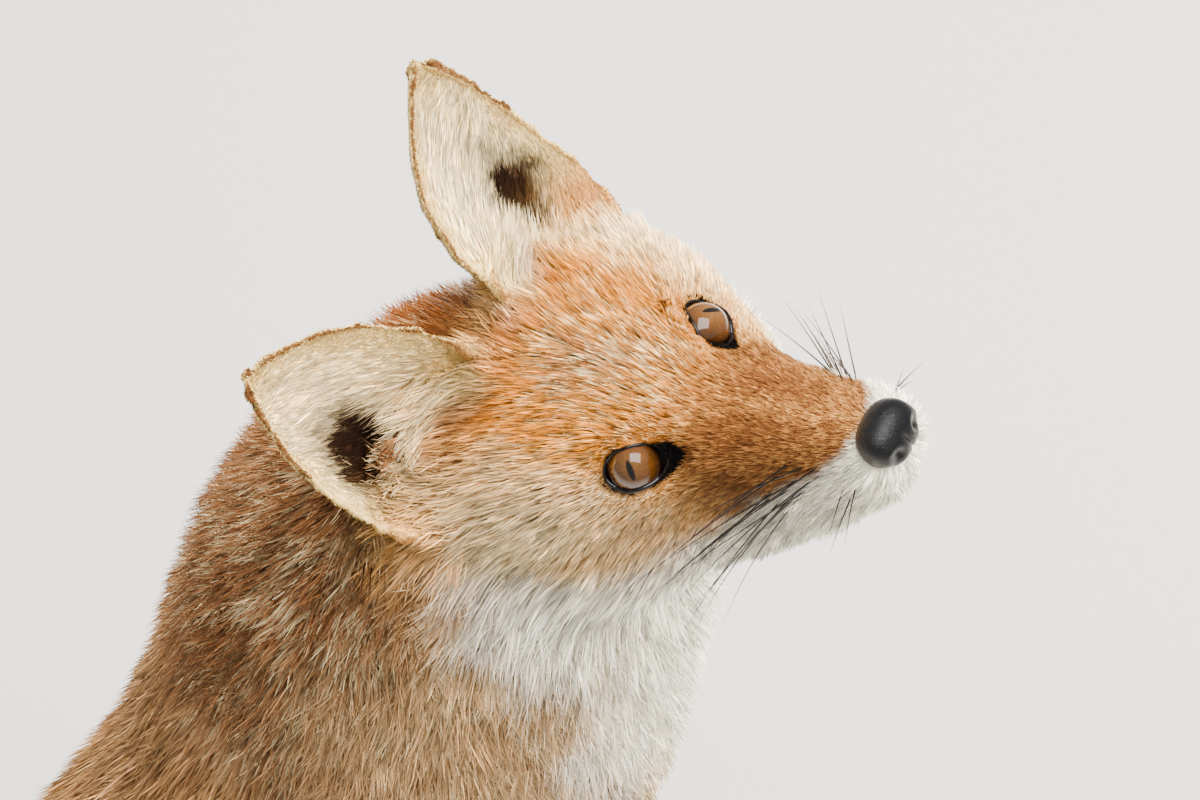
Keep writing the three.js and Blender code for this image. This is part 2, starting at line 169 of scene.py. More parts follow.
headOrigin = eyeMid - mm * (headPlan["eyeCentre"][0] * headForward + headPlan["eyeCentre"][2] * headUp)
print("head frame", headOrigin.round(4), headAxes.round(3).tolist())


def toHead(points):
    return (np.asarray(points) - headOrigin) @ headAxes.T / mm


def fromHead(points):
    return np.asarray(points) @ headAxes * mm + headOrigin


# stage and camera
def makeStage():
    floorPlan = {"size": 6.0, "drop": 0.0004, "colour": (0.60, 0.59, 0.57), "roughness": 0.75}
    half = floorPlan["size"] / 2
    z = -floorPlan["drop"]
    floor = meshPiece("floor", [(-half, -half, z), (half, -half, z), (half, half, z), (-half, half, z)],
                      [(0, 1, 2), (0, 2, 3)])
    paint = bpy.data.materials.new("pale floor")
    paint.use_nodes = True
    shader = paint.node_tree.nodes["Principled BSDF"]
    shader.inputs["Base Color"].default_value = (*floorPlan["colour"], 1)
    shader.inputs["Roughness"].default_value = floorPlan["roughness"]
    floor.data.materials.append(paint)

    cameraPlan = {"place": (956.9, -418.4, 774.3), "lens": 128.9, "sensor": 36.0}  # place in the head's frame
    right, up, back = (-0.3746, -0.9272, 0.0), (0.7596, -0.3069, 0.5736), (-0.5318, 0.2149, 0.8192)
    camera = bpy.data.cameras.new("camera")
    camera.lens = cameraPlan["lens"]
    camera.sensor_width = cameraPlan["sensor"]
    camera.clip_end = 20
    holder = bpy.data.objects.new("camera", camera)
    place = fromHead(cameraPlan["place"])
    turn = Matrix((right, up, back)).transposed().to_4x4()
    holder.matrix_world = Matrix.Translation(Vector(place)) @ turn
    bpy.context.scene.collection.objects.link(holder)
    bpy.context.scene.camera = holder

    lampPlan = {  # place from the head, size, watts, colour, shape, whether it shines back from the eyes
        "key": ((1.10, -0.70, 1.6), 1.0, 150, (1.0, 0.95, 0.87), "SQUARE", False),
        "front": ((-0.3, -1.15, 1.35), 1.3, 74, (1.0, 0.96, 0.90), "DISK", False),
        "window": ((-0.12, 0.05, 1.45), 1.15, 26, (1.0, 0.98, 0.96), "SQUARE", True),
        "fill": ((-1.2, -1.6, 1.1), 1.8, 66, (1.0, 0.98, 0.95), "DISK", False),
        "rim": ((1.6, 1.0, 1.2), 1.2, 22, (1.0, 0.97, 0.93), "DISK", False),
    }
    for name, (offset, size, watts, colour, shape, shines) in lampPlan.items():
        lamp = bpy.data.lights.new(name, "AREA")
        lamp.shape = shape
        lamp.size = size
        lamp.energy = watts
        lamp.color = colour
        holder = bpy.data.objects.new(name, lamp)
        holder.visible_glossy = shines
        spot = Vector(headOrigin) + Vector(offset)
        aim = (Vector(headOrigin) - spot).to_track_quat("-Z", "Y")
        holder.matrix_world = Matrix.Translation(spot) @ aim.to_matrix().to_4x4()
        bpy.context.scene.collection.objects.link(holder)

    world = bpy.data.worlds.new("studio")
    world.use_nodes = True
    world.node_tree.nodes["Background"].inputs["Color"].default_value = (1.0, 0.98, 0.95, 1)
    world.node_tree.nodes["Background"].inputs["Strength"].default_value = 0.40
    bpy.context.scene.world = world
    print("stage, lamps and camera are up")


makeStage()

# skin: the flesh solids made one, smoothed, and drawn in by the coat's depth
skinPlan = {"voxel": 0.0036, "seam": 0.00035, "earSeam": 0.0026, "roundsBefore": 9, "roundsEach": 1,
            "steps": 8}
# the folds between the toes are carved into the skin and get painted shade
toePlan = {"width": 1.7, "groove": 2.4, "shade": 0.6}  # folds between the toes: mm across, mm deep, darkening
bareNodes = [n for n in nodes if n.startswith(("claw_", "eye_", "nose"))]
fleshNodes = sorted(n for n in nodes if n not in bareNodes)
regionNames = ["face", "ear", "neck", "chest", "loin", "rump", "upperArm", "foreArm", "forePaw",
               "thigh", "shank", "hindPaw", "tail1", "tail2", "tail3", "tail4", "tail5"]


def regionOf(node):
    if node in ("head", "muzzle", "lower_jaw"):
        return "face"
    stem = node.replace("_left", "").replace("_right", "").replace("_", "")
    return {"upperarm": "upperArm", "forearm": "foreArm", "forepaw": "forePaw",
            "hindpaw": "hindPaw"}.get(stem, stem)


def swollen(node, grow):  # the node's own surface, welded and pushed out
    points, triangles = nodeArrays(node)
    piece = bmesh.new()
    made = [piece.verts.new(p) for p in points]
    for t in triangles:
        try:
            piece.faces.new([made[k] for k in t])
        except ValueError:  # the face is there already
            pass
    bmesh.ops.remove_doubles(piece, verts=piece.verts, dist=1e-6)
    piece.normal_update()
    piece.verts.index_update()
    points = np.array([v.co + v.normal * grow for v in piece.verts])
    triangles = np.array([[v.index for v in f.verts] for f in piece.faces])
    piece.free()
    return points, triangles


def ball(centre, radii, around=24, rows=16):
    piece = bmesh.new()
    bmesh.ops.create_uvsphere(piece, u_segments=around, v_segments=rows, radius=1)
    bmesh.ops.triangulate(piece, faces=piece.faces)
    points = np.array([v.co for v in piece.verts]) * radii + centre
    triangles = np.array([[v.index for v in f.verts] for f in piece.faces])
    piece.free()
    return points, triangles


def unitedFlesh():
    # the thin ears go in thicker, so that the grid keeps their rims; onEars() thins them again
    parts = [swollen(n, skinPlan["earSeam" if n.startswith("ear") else "seam"]) for n in fleshNodes]
    for side in (1, -1):  # the sockets are filled, and opened again when the lids are shaped
        centre = np.array(headPlan["eyeCentre"]) * (1, side, 1)
        points, triangles = ball(centre + np.array((1.5, 1.0 * side, 1.0)), (11, 11, 10))
        parts.append((fromHead(points), triangles))
    points, triangles = ball(np.array(headPlan["noseCentre"]) - (3, 0, 1), (8, 9.5, 8))
    parts.append((fromHead(points), triangles))
    offsets = np.cumsum([0] + [len(p) for p, _ in parts])[:-1]
    allPoints = np.concatenate([p for p, _ in parts])
    allTriangles = np.concatenate([t + o for (_, t), o in zip(parts, offsets)])
    source = meshPiece("flesh", allPoints, allTriangles)
    remesh = source.modifiers.new("one surface", "REMESH")
    remesh.mode = "VOXEL"
    remesh.voxel_size = skinPlan["voxel"]
    graph = bpy.context.evaluated_depsgraph_get()
    mesh = bpy.data.meshes.new_from_object(source.evaluated_get(graph))
    bpy.data.objects.remove(source)
    return mesh


def outerShell(mesh):  # only the largest joined surface is kept, without closed voids inside
    label = np.arange(len(mesh.vertices))
    corners = np.zeros(len(mesh.loops), np.int32)
    mesh.loops.foreach_get("vertex_index", corners)
    corners = corners.reshape(-1, 4)
    while True:
        lowest = label[corners].min(1)
        fresh = label.copy()
        for k in range(4):
            np.minimum.at(fresh, corners[:, k], lowest)
        fresh = fresh[fresh]
        if (fresh == label).all():
            break
        label = fresh
    biggest = np.bincount(label[corners[:, 0]]).argmax()
    return np.nonzero(label != biggest)[0]


def refined(mesh):  # a finer grid over the face and ears, and finer again round the eyes and mouth
    work = bmesh.new()
    work.from_mesh(mesh)
    inside = outerShell(mesh)
    work.verts.ensure_lookup_table()
    bmesh.ops.delete(work, geom=[work.verts[k] for k in inside], context="VERTS")
    print("outer shell has", len(work.faces), "faces")
    for level in (1, 2):
        spots = toHead([f.calc_center_median() for f in work.faces])
        ax, ay, az = spots[:, 0], np.abs(spots[:, 1]), spots[:, 2]
        if level == 1:
            near = (ax > -30) & (ay < 48) & (az > -62) & (ax < 100) & (az < 40)
            near |= (ax < -52) & (ax > -95) & (ay > 10) & (ay < 80) & (az > 22) & (az < 110)
            near |= toeGaps(np.array([f.calc_center_median() for f in work.faces]), 4.5) > 0.05
        else:
            eye = np.array(headPlan["eyeCentre"]) + 7 * np.array(headPlan["eyeAxis"])
            near = np.linalg.norm(np.stack([ax, ay, az], 1) - eye, axis=1) < 17
            near |= (ax > 8) & (ax < 84) & (np.abs(az + 32.5) < 3.5)
        edges = {e for f, keep in zip(work.faces, near) if keep for e in f.edges}
        bmesh.ops.subdivide_edges(work, edges=list(edges), cuts=1, use_grid_fill=True)
    bmesh.ops.triangulate(work, faces=work.faces)
    work.verts.index_update()
    points = np.array([v.co for v in work.verts])
    triangles = np.array([[v.index for v in f.verts] for f in work.faces], np.int32)
    work.free()
    return points, triangles


class Surface:  # a triangle mesh as arrays, with its neighbour averages

    def __init__(self, points, triangles):
        self.points = np.asarray(points, float)
        self.triangles = np.asarray(triangles)
        pairs = np.concatenate([self.triangles[:, pair] for pair in ([0, 1], [1, 2], [2, 0])])
        pairs = np.concatenate([pairs, pairs[:, ::-1]])
        self.fromEnd, self.toEnd = pairs[:, 0], pairs[:, 1]
        self.count = len(self.points)
        self.links = np.maximum(np.bincount(self.fromEnd, minlength=self.count), 1)

    def average(self, values):
        flat = values.reshape(self.count, -1)
        sums = [np.bincount(self.fromEnd, weights=flat[self.toEnd, k], minlength=self.count)
                for k in range(flat.shape[1])]
        return (np.stack(sums, 1) / self.links[:, None]).reshape(values.shape)

    def smoothed(self, values, rounds, share=0.6):
        for _ in range(rounds):
            values = values * (1 - share) + self.average(values) * share
        return values

    def relax(self, share):  # moves each point a share of the way to its neighbours' middle
        self.points = self.points + (self.average(self.points) - self.points) * share[:, None]

    def normals(self):
        a, b, c = (self.points[self.triangles[:, k]] for k in range(3))
        faceNormals = np.cross(b - a, c - a)
        total = np.zeros_like(self.points)
        for k in range(3):
            for axis in range(3):
                total[:, axis] += np.bincount(self.triangles[:, k], weights=faceNormals[:, axis],
                                              minlength=self.count)
        return unit(total)

    def areas(self):  # square mm
        a, b, c = (self.points[self.triangles[:, k]] / mm for k in range(3))
        return np.linalg.norm(np.cross(b - a, c - a), axis=1) / 2


def nearestRegions(points):  # the CAD node nearest to each point, as a number in regionNames
    corners, faces, owner = [], [], []
    for node in fleshNodes:
        p, t = nodeArrays(node)
        faces.append(t + sum(len(c) for c in corners))
        corners.append(p)
        owner += [regionNames.index(regionOf(node))] * len(t)
    tree = BVHTree.FromPolygons(np.concatenate(corners).tolist(), np.concatenate(faces).tolist())
    found = [tree.find_nearest(p)[2] for p in points.tolist()]
    return np.array(owner)[found]


def toeGaps(points, width):  # the folds between the toes, running back from between the claws
    total = np.zeros(len(points))
    for foot in ("fore_left", "fore_right", "hind_left", "hind_right"):
        claws = np.array([middle(f"claw_{foot}_{k}") for k in (1, 2, 3, 4)])
        claws = claws[np.argsort(claws[:, 0])]
        knuckle = claws.mean(0) + (0, 0.045, 0)
        for gap in (claws[1:] + claws[:-1]) / 2:
            way = unit(knuckle[:2] + 0.55 * (gap - knuckle)[:2] - gap[:2])
            offset = (points - gap) / mm
            along = offset[:, :2] @ way
            across = offset[:, 0] * way[1] - offset[:, 1] * way[0]
            fold = hill(across, width) * smoothStep(-14, -8, along) * smoothStep(30, 16, along)
            total = np.maximum(total, fold * smoothStep(34, 26, offset[:, 2]))
    return total


# painted shade: skin and hair tones are darkened in the folds between the toes
def toeShade(points):  # the share of a tone that is left in the folds between the toes
    return 1 - toePlan["shade"] * toeGaps(points, toePlan["width"])[:, None]


united = unitedFlesh()
print("flesh is one surface of", len(united.polygons), "faces")
skin = Surface(*refined(united))
bpy.data.meshes.remove(united)
print("skin has", len(skin.triangles), "triangles while it is shaped")

regionIndex = nearestRegions(skin.points)


def onEars():  # ear points are laid on the ear solids' own surface
    isEar = regionIndex == regionNames.index("ear")
    left = (skin.points - headOrigin) @ headLeft > 0
    for node, side in (("ear_left", left), ("ear_right", ~left)):
        points, triangles = nodeArrays(node)
        tree = BVHTree.FromPolygons(points.tolist(), triangles.tolist())
        for k in np.nonzero(isEar & side)[0]:
            spot, _, _, gap = tree.find_nearest(skin.points[k].tolist())
            if gap < 7 * mm:
                skin.points[k] = spot


onEars()
shares = skin.smoothed(np.eye(len(regionNames))[regionIndex], 12)
print("regions are marked")


def region(parts, *names):
    return sum(parts[:, regionNames.index(n)] for n in names)


# what the coat is like over each region: depth, tuft length and tuft width in mm, tufts to a square cm
regionCoat = {
    "face": (3.5, 8.0, 0.7, 200), "ear": (0.7, 5.5, 0.55, 230), "neck": (12.0, 22.0, 0.72, 165),
    "chest": (14.0, 36.0, 1.55, 56), "loin": (13.0, 36.0, 1.8, 40), "rump": (12.0, 34.0, 1.9, 36),
    "upperArm": (10.0, 28.0, 1.5, 54), "foreArm": (3.0, 11.0, 1.3, 70), "forePaw": (1.0, 5.0, 0.8, 150),
    "thigh": (11.0, 30.0, 2.0, 32), "shank": (5.0, 15.0, 1.5, 55), "hindPaw": (1.0, 5.5, 0.8, 130),
    "tail1": (20.0, 42.0, 2.2, 26), "tail2": (26.0, 50.0, 2.4, 26), "tail3": (28.0, 52.0, 2.4, 26),
    "tail4": (26.0, 50.0, 2.2, 29), "tail5": (14.0, 34.0, 1.6, 46),
}
coatTable = np.array([regionCoat[n] for n in regionNames])


# ears: their own places, from the root's two ends and the tip in the head's frame
earPlan = {"inner": (-51, 11, 37), "outer": (-57, 65, 3), "tip": (-69, 58, 93), "bulge": 9.5, "bow": 9,
           "cup": 17, "wall": 6}


def earAxes():  # of the left ear
    inner, outer, tip = (np.array(earPlan[k]) for k in ("inner", "outer", "tip"))
    root = (inner + outer) / 2
    axis = unit(tip - root)
    across = outer - inner
    across = across - axis * (across @ axis)
    front = unit(np.cross(across, axis))
    return root, axis, np.linalg.norm(tip - root), unit(across), np.linalg.norm(across) / 2, front


def earPlaces(headPoints):  # share of the height, place across from -1 to 1, mm before the wall's middle
    root, axis, height, across, halfRoot, front = earAxes()
    offset = headPoints - root
    up = offset @ axis / height
    s = np.clip(up, 0, 1)
    swell = np.sin(np.pi * s ** 0.85)
    v = offset @ across / (halfRoot * (1 - s) + earPlan["bulge"] * swell + 1)
    level = np.clip(v, -1, 1) ** 2
    hollow = earPlan["bow"] * swell + earPlan["cup"] * (1 - 0.8 * s) * (1 - level)
    wall = earPlan["wall"] * (1 - 0.35 * level) * (1 - 0.4 * s)
    return up, v, offset @ front + hollow + wall / 2


def earFacing(outward, side):  # 1 looking into the hollow of the ear, -1 on its back
    front = earAxes()[5]
    turned = outward @ headAxes.T
    return turned[:, 0] * front[0] + turned[:, 1] * front[1] * side + turned[:, 2] * front[2]


def earMarks(headPoints):  # the same for whichever ear is nearer, with its side
    side = np.where(headPoints[:, 1] > 0, 1, -1)
    return (*earPlaces(flipped(headPoints, side)), side)


def hollowCentre(side):  # place across the ear of its dark hollow, nearer the middle in the right ear
    return np.where(side > 0, 0.34, 0.20)


# eye places: along the slit, across it and out along the eye's axis, in mm from the eyeball's centre
eyeAxis = unit(np.array(headPlan["eyeAxis"]))
eyeSlit = np.array(headPlan["eyeSlit"])
eyeSlit = unit(eyeSlit - eyeAxis * (eyeSlit @ eyeAxis))
eyeAcross = np.cross(eyeAxis, eyeSlit)
eyeFrame = np.array([eyeSlit, eyeAcross, eyeAxis])
lidPlan = {"outer": 9.2, "inner": 11.2, "tall": 6.7, "cover": 9.9, "corner": 5.2, "rim": 0.5, "fade": 1.95}


def eyePlaces(headPoints):
    side = np.where(headPoints[:, 1] > 0, 1, -1)
    return (flipped(headPoints, side) - headPlan["eyeCentre"]) @ eyeFrame.T


def openingReach(along, across):  # 1 on the lids' edge, less inside
    long = np.where(along > 0, lidPlan["outer"], lidPlan["inner"])
    shape = (np.abs(along) / long) ** 2.2 + (np.abs(across) / lidPlan["tall"]) ** 1.9
    return shape ** 0.5


def lidHeight(along, across):
    return np.sqrt(np.maximum(lidPlan["cover"] ** 2 - along ** 2 - across ** 2, lidPlan["corner"] ** 2))


def shrinkSkin():
    headPoints = toHead(skin.points)
    x, _, z = headPoints.T
    face, ear = region(shares, "face"), region(shares, "ear")
    depth = shares @ coatTable[:, 0]
    # over the face the coat deepens from the nose to the nape and out to the cheek ruffs
    faceDepth = 0.9 + 1.4 * smoothStep(30, 5, x) + 3.4 * smoothStep(6, -34, x) + 5.0 * smoothStep(-30, -62, x)
    faceDepth += 7.0 * smoothStep(-12, -34, z) * smoothStep(12, -28, x)
    faceDepth += 1.1 * smoothStep(-8, -16, z) * smoothStep(36, 52, x)  # the lips are fuller
    depth = skin.smoothed(depth + face * (faceDepth - coatTable[0, 0]), 10)
    gentle = smoothStep(-20, 10, x) * face
    throat = hill(np.linalg.norm(headPoints - (-25, 0, -75), axis=1), 42)
    paw = region(shares, "forePaw", "hindPaw")
    plain = np.clip((1 - ear) * (1 - 0.8 * gentle) * (1 - 0.9 * paw), 0, 1)
    for _ in range(skinPlan["roundsBefore"]):
        skin.relax(0.6 * plain)
    for _ in range(3):  # ears: smoothed without shrinking
        skin.relax(0.55 * ear)
        skin.relax(-0.57 * ear)
    for _ in range(skinPlan["steps"]):
        skin.points -= skin.normals() * (depth / skinPlan["steps"] * mm)[:, None]
        for _ in range(skinPlan["roundsEach"]):
            skin.relax(0.5 * plain)
        skin.relax(0.06 * ear + 0.10 * gentle)
        for _ in range(4):
            skin.relax(0.6 * throat * (1 - ear))
    up, v, _, side = earMarks(toHead(skin.points))
    across = earAxes()[3]
    broaden = 2.6 * smoothStep(0.3, 0.75, up) * np.clip(v, -1, 1) * smoothStep(0.4, 0.9, np.abs(v)) * ear
    skin.points += flipped(across, side) @ headAxes * (broaden * mm)[:, None]
    skin.points[:, 2] = np.maximum(skin.points[:, 2], 0.0)
    return depth


def shapeLids():
    headPoints = toHead(skin.points)
    local = eyePlaces(headPoints)
    along, across, out = local.T
    reach = openingReach(along, across)
    near = (reach < lidPlan["fade"]) & (out > -3)
    hidden = 3.0 + 1.8 * smoothStep(7.5, 10, np.abs(along))
    draped = lidHeight(along, across) + 0.2 - 0.55 * hill(reach - 1.32, 0.10) * (across > 0)
    drape = smoothStep(lidPlan["fade"], 1.05, reach)
    lid = out * (1 - drape) + draped * drape
    local[:, 2] = np.where(near, np.where(reach < 1, hidden, lid), out)
    pull = np.where(near & (np.abs(reach - 1) < 0.09), 1 / np.maximum(reach, 0.1), 1.0)  # a clean edge
    local[:, :2] *= pull[:, None]
    side = np.where(headPoints[:, 1] > 0, 1, -1)
    moved = local @ eyeFrame + headPlan["eyeCentre"]
    moved[:, 1] *= side
    skin.points = np.where(near[:, None], fromHead(moved), skin.points)
    return np.where(near, reach, 9.0)


mouthPlan = {"from": 8.0, "height": -32.0, "fall": -0.03, "width": 0.9, "depth": 1.4}


def shapeMouth():
    headPoints = toHead(skin.points)
    x, _, z = headPoints.T
    line = mouthPlan["height"] + mouthPlan["fall"] * (x - 30)
    groove = hill(z - line, mouthPlan["width"]) * smoothStep(mouthPlan["from"] - 3, mouthPlan["from"] + 4, x)
    groove *= region(shares, "face") > 0.5
    skin.points -= skin.normals() * (groove * mouthPlan["depth"] * mm)[:, None]
    return groove


coatDepth = shrinkSkin()
toeFolds = toeGaps(skin.points, toePlan["width"]) * (skin.points[:, 2] > 0.002)
skin.points -= skin.normals() * (toePlan["groove"] * mm * toeFolds)[:, None]
lidReach = shapeLids()
mouthShare = shapeMouth()
print("skin is drawn in under the coat, with lids and mouth")

# the lie of the coat
noseTip = np.array((86.0, 0.0, -12.0))


def roundPath(corners, count=48):  # a smooth way through a few places
    corners = np.array(corners)
    ends = np.concatenate([[2 * corners[0] - corners[1]], corners, [2 * corners[-1] - corners[-2]]])
    made = []
    for k in range(len(corners) - 1):
        a, b, c, d = ends[k:k + 4]
        for t in np.linspace(0, 1, count // (len(corners) - 1), endpoint=False):
            made.append(0.5 * (2 * b + (c - a) * t + (2 * a - 5 * b + 4 * c - d) * t ** 2
                               + (3 * b - a - 3 * c + d) * t ** 3))
    return np.array(made + [corners[-1]])


def alongPath(points, path, atOnce=20000):  # share of the way, the way's direction, and the angle round it
    tangents = unit(np.gradient(path, axis=0))
    reach = np.concatenate([[0], np.cumsum(np.linalg.norm(np.diff(path, axis=0), axis=1))])
    share, direction, angle = np.zeros(len(points)), np.zeros((len(points), 3)), np.zeros(len(points))
    for start in range(0, len(points), atOnce):
        here = slice(start, start + atOnce)
        block = points[here]
        nearest = np.argmin(((block[:, None, :] - path[None]) ** 2).sum(2), axis=1)
        t = tangents[nearest]
        offset = block - path[nearest]
        share[here] = (reach[nearest] + (offset * t).sum(1)) / reach[-1]
        direction[here] = t
        sideWay = unit(np.cross(t, (0.03, 0.02, 1.0)))
        sideUp = np.cross(sideWay, t)
        angle[here] = np.arctan2((offset * sideWay).sum(1), (offset * sideUp).sum(1))
    return share, direction, angle


def farEnd(node, axis, sign):
    points, _ = nodeArrays(node)
    order = np.argsort(points[:, axis] * sign)
    return points[order[-12:]].mean(0)


spinePath = roundPath([fromHead((-40, 0, 5)), fromHead((-95, 0, -15)), middle("neck"), middle("chest"),
                       middle("loin"), middle("rump"), middle("rump") + (0, 0.06, -0.04)])
tailPath = roundPath([middle("rump") + (0, 0.05, -0.03)] + [middle(f"tail_{k}") for k in range(1, 6)]
                     + [farEnd("tail_5", 1, -1)])
_, spineWay, _ = alongPath(skin.points, spinePath)
_, tailWay, _ = alongPath(skin.points, tailPath)


def layOfCoat():
    headPoints = toHead(skin.points)
    skinFaces = skin.normals() @ headAxes.T
    x, y, z = headPoints.T
    side = np.sign(y)
    fromNose = unit(headPoints - noseTip)
    faceWay = fromNose + np.stack([-0.5 * np.ones_like(x), 0.35 * side * smoothStep(10, -30, x),
                                   -0.30 * smoothStep(6, -18, z) * smoothStep(30, -20, x)], 1)
    local = eyePlaces(headPoints)
    fromEye = np.stack([local[:, 0], local[:, 1], 0 * x], 1) @ eyeFrame
    fromEye[:, 1] *= side
    faceWay += unit(fromEye) * (0.9 * hill(np.maximum(openingReach(local[:, 0], local[:, 1]) - 1, 0), 0.45)
                                * (local[:, 2] > -3))[:, None]
    _, v, before, earSide = earMarks(headPoints + skinFaces * 1.5)
    _, axis, _, across, _, _ = earAxes()
    sweep = np.where(before > 0, 0.75 * smoothStep(0.95, 0.3, v) * smoothStep(-1, -0.6, v), 0.2 * v)
    sweep += np.sign(v) * 0.4 * smoothStep(0.88, 1.0, np.abs(v)) * (before > -0.7)
    earWay = flipped(axis + across * sweep[:, None], earSide)
    awayFromHead = unit(headPoints + (10, 0, 10)) @ headAxes
    neckWay = unit(spineWay) * 0.5 + (0, 0.1, -1.0) + awayFromHead * 0.25 * smoothStep(-160, -60, z)[:, None]
    ways = {
        "face": unit(faceWay) @ headAxes, "ear": unit(earWay) @ headAxes, "neck": unit(neckWay),
        "chest": spineWay, "loin": spineWay, "rump": spineWay + (0, 0.2, -0.6),
        "upperArm": (0, 0.15, -1), "foreArm": (0, 0.05, -1), "forePaw": (0, -0.9, -0.45),
        "thigh": (0, 0.35, -0.9), "shank": (0, 0.9, -0.45), "hindPaw": (0, -1.0, -0.15),
        **{f"tail{k}": tailWay for k in range(1, 6)},
    }
    total = sum(region(shares, n)[:, None] * np.asarray(way, float) for n, way in ways.items())
    normals = skin.normals()
    total = unit(total - normals * (total * normals).sum(1)[:, None])
    total = skin.smoothed(total, 6)
    return unit(total - normals * (total * normals).sum(1)[:, None])


coatWay = layOfCoat()
print("the lie of the coat is set")

# markings, the same for skin and coat
tones = {
    "rust": tone(160, 92, 34), "orange": tone(210, 146, 48), "tan": tone(170, 122, 74),
    "umber": tone(166, 128, 90), "brown": tone(126, 86, 54), "bark": tone(84, 56, 35),
    "sand": tone(232, 202, 152), "straw": tone(252, 226, 182), "ochre": tone(236, 188, 116),
    "cream": tone(255, 232, 188), "butter": tone(255, 222, 150), "white": tone(253, 244, 228),
    "bone": tone(224, 208, 186), "ash": tone(168, 152, 132), "shade": tone(160, 134, 108),
    "soot": tone(50, 34, 25), "black": tone(24, 18, 16),
}
whiteBorder = {  # the cheek's white edge: place along the head, height
    "along": (-70, -58, -42, -25, -9, 8, 25, 40, 52, 68, 78, 90),
    "height": (-14, -12, -18, -30, -36, -36, -28, -20, -16, -12, -8, -4),
}
bibBorder = {"height": (-200, -120, -68, -35, 0), "along": (-150, -104, -68, -62, -60)}


def faceTones(p):
    x, y, z = p.T
    ay = np.abs(y)
    root, mid, tip = tones["brown"], tones["orange"], tones["sand"]
    patch = cloud(p, 9, 21)

    def lay(share, rootTone, midTone, tipTone):
        nonlocal root, mid, tip
        root = mix(root, tones[rootTone], share)
        mid = mix(mid, tones[midTone], share)
        tip = mix(tip, tones[tipTone], share)

    lay(smoothStep(0, 24, x), "brown", "tan", "ochre")
    # painted shade: the sides of the muzzle are darker than its top
    lay(0.9 * smoothStep(14, 34, x) * smoothStep(-3, 8, ay), "brown", "brown", "tan")
    lay(0.35 * smoothStep(48, 66, x) * smoothStep(-12, -4, z), "brown", "tan", "ochre")
    crown = smoothStep(-30, -50, x + 5 * patch) * smoothStep(4, 14, z)
    lay(crown * smoothStep(34, 20, ay), "bark", "rust", "orange")
    lay(0.9 * hill(np.hypot(x + 50, np.hypot(ay - 38, z - 20)), 15), "rust", "orange", "ochre")
    frost = hill(ay, 15) * smoothStep(14, -2, x) * smoothStep(-38, -24, x) * smoothStep(-2, 8, z)
    lay(np.clip(frost * (0.8 + 0.9 * patch), 0, 1), "brown", "tan", "cream")
    brow = hill(np.hypot(x + 8, ay - 34), 17) * smoothStep(4, 12, z)
    lay(0.6 * brow * (1 - frost), "brown", "orange", "ochre")
    cheek = smoothStep(26, 42, ay + 4 * patch) * smoothStep(20, -16, x)
    lay(0.85 * cheek, "tan", "sand", "straw")
    edge = smoothStep(40, 52, ay) * smoothStep(2, -16, x) * smoothStep(-62, -48, x) * smoothStep(-22, -4, z)
    lay(0.8 * edge, "sand", "straw", "cream")
    below = hill(np.hypot(np.hypot((x - 2) / 1.8, ay - 36), (z + 20) / 1.1), 10)
    lay(0.65 * below, "tan", "sand", "straw")
    lay(0.75 * hill(np.hypot(np.hypot(x - 18, ay - 18), z + 5), 8.0), "soot", "bark", "brown")
    lay(0.45 * hill(np.hypot(np.hypot((x - 48) / 1.5, ay - 17), z + 13), 8.0), "brown", "tan", "ochre")
    border = np.interp(x, whiteBorder["along"], whiteBorder["height"])
    soft = 3.0 + 7.0 * smoothStep(24, 0, x)
    warm = (smoothStep(-14, 2, z) * smoothStep(34, 22, ay) * (1 - 0.7 * frost))[:, None]
    root, mid, tip = (c * (1 - warm * (0.12, 0.24, 0.38)) for c in (root, mid, tip))
    pale = smoothStep(soft, -soft, z - border - 0.3 * soft + 2.5 * patch)
    lay(pale, "bone", "white", "white")
    root = mix(root, tones["white"], pale * smoothStep(10, 30, x))
    return root, mid, tip


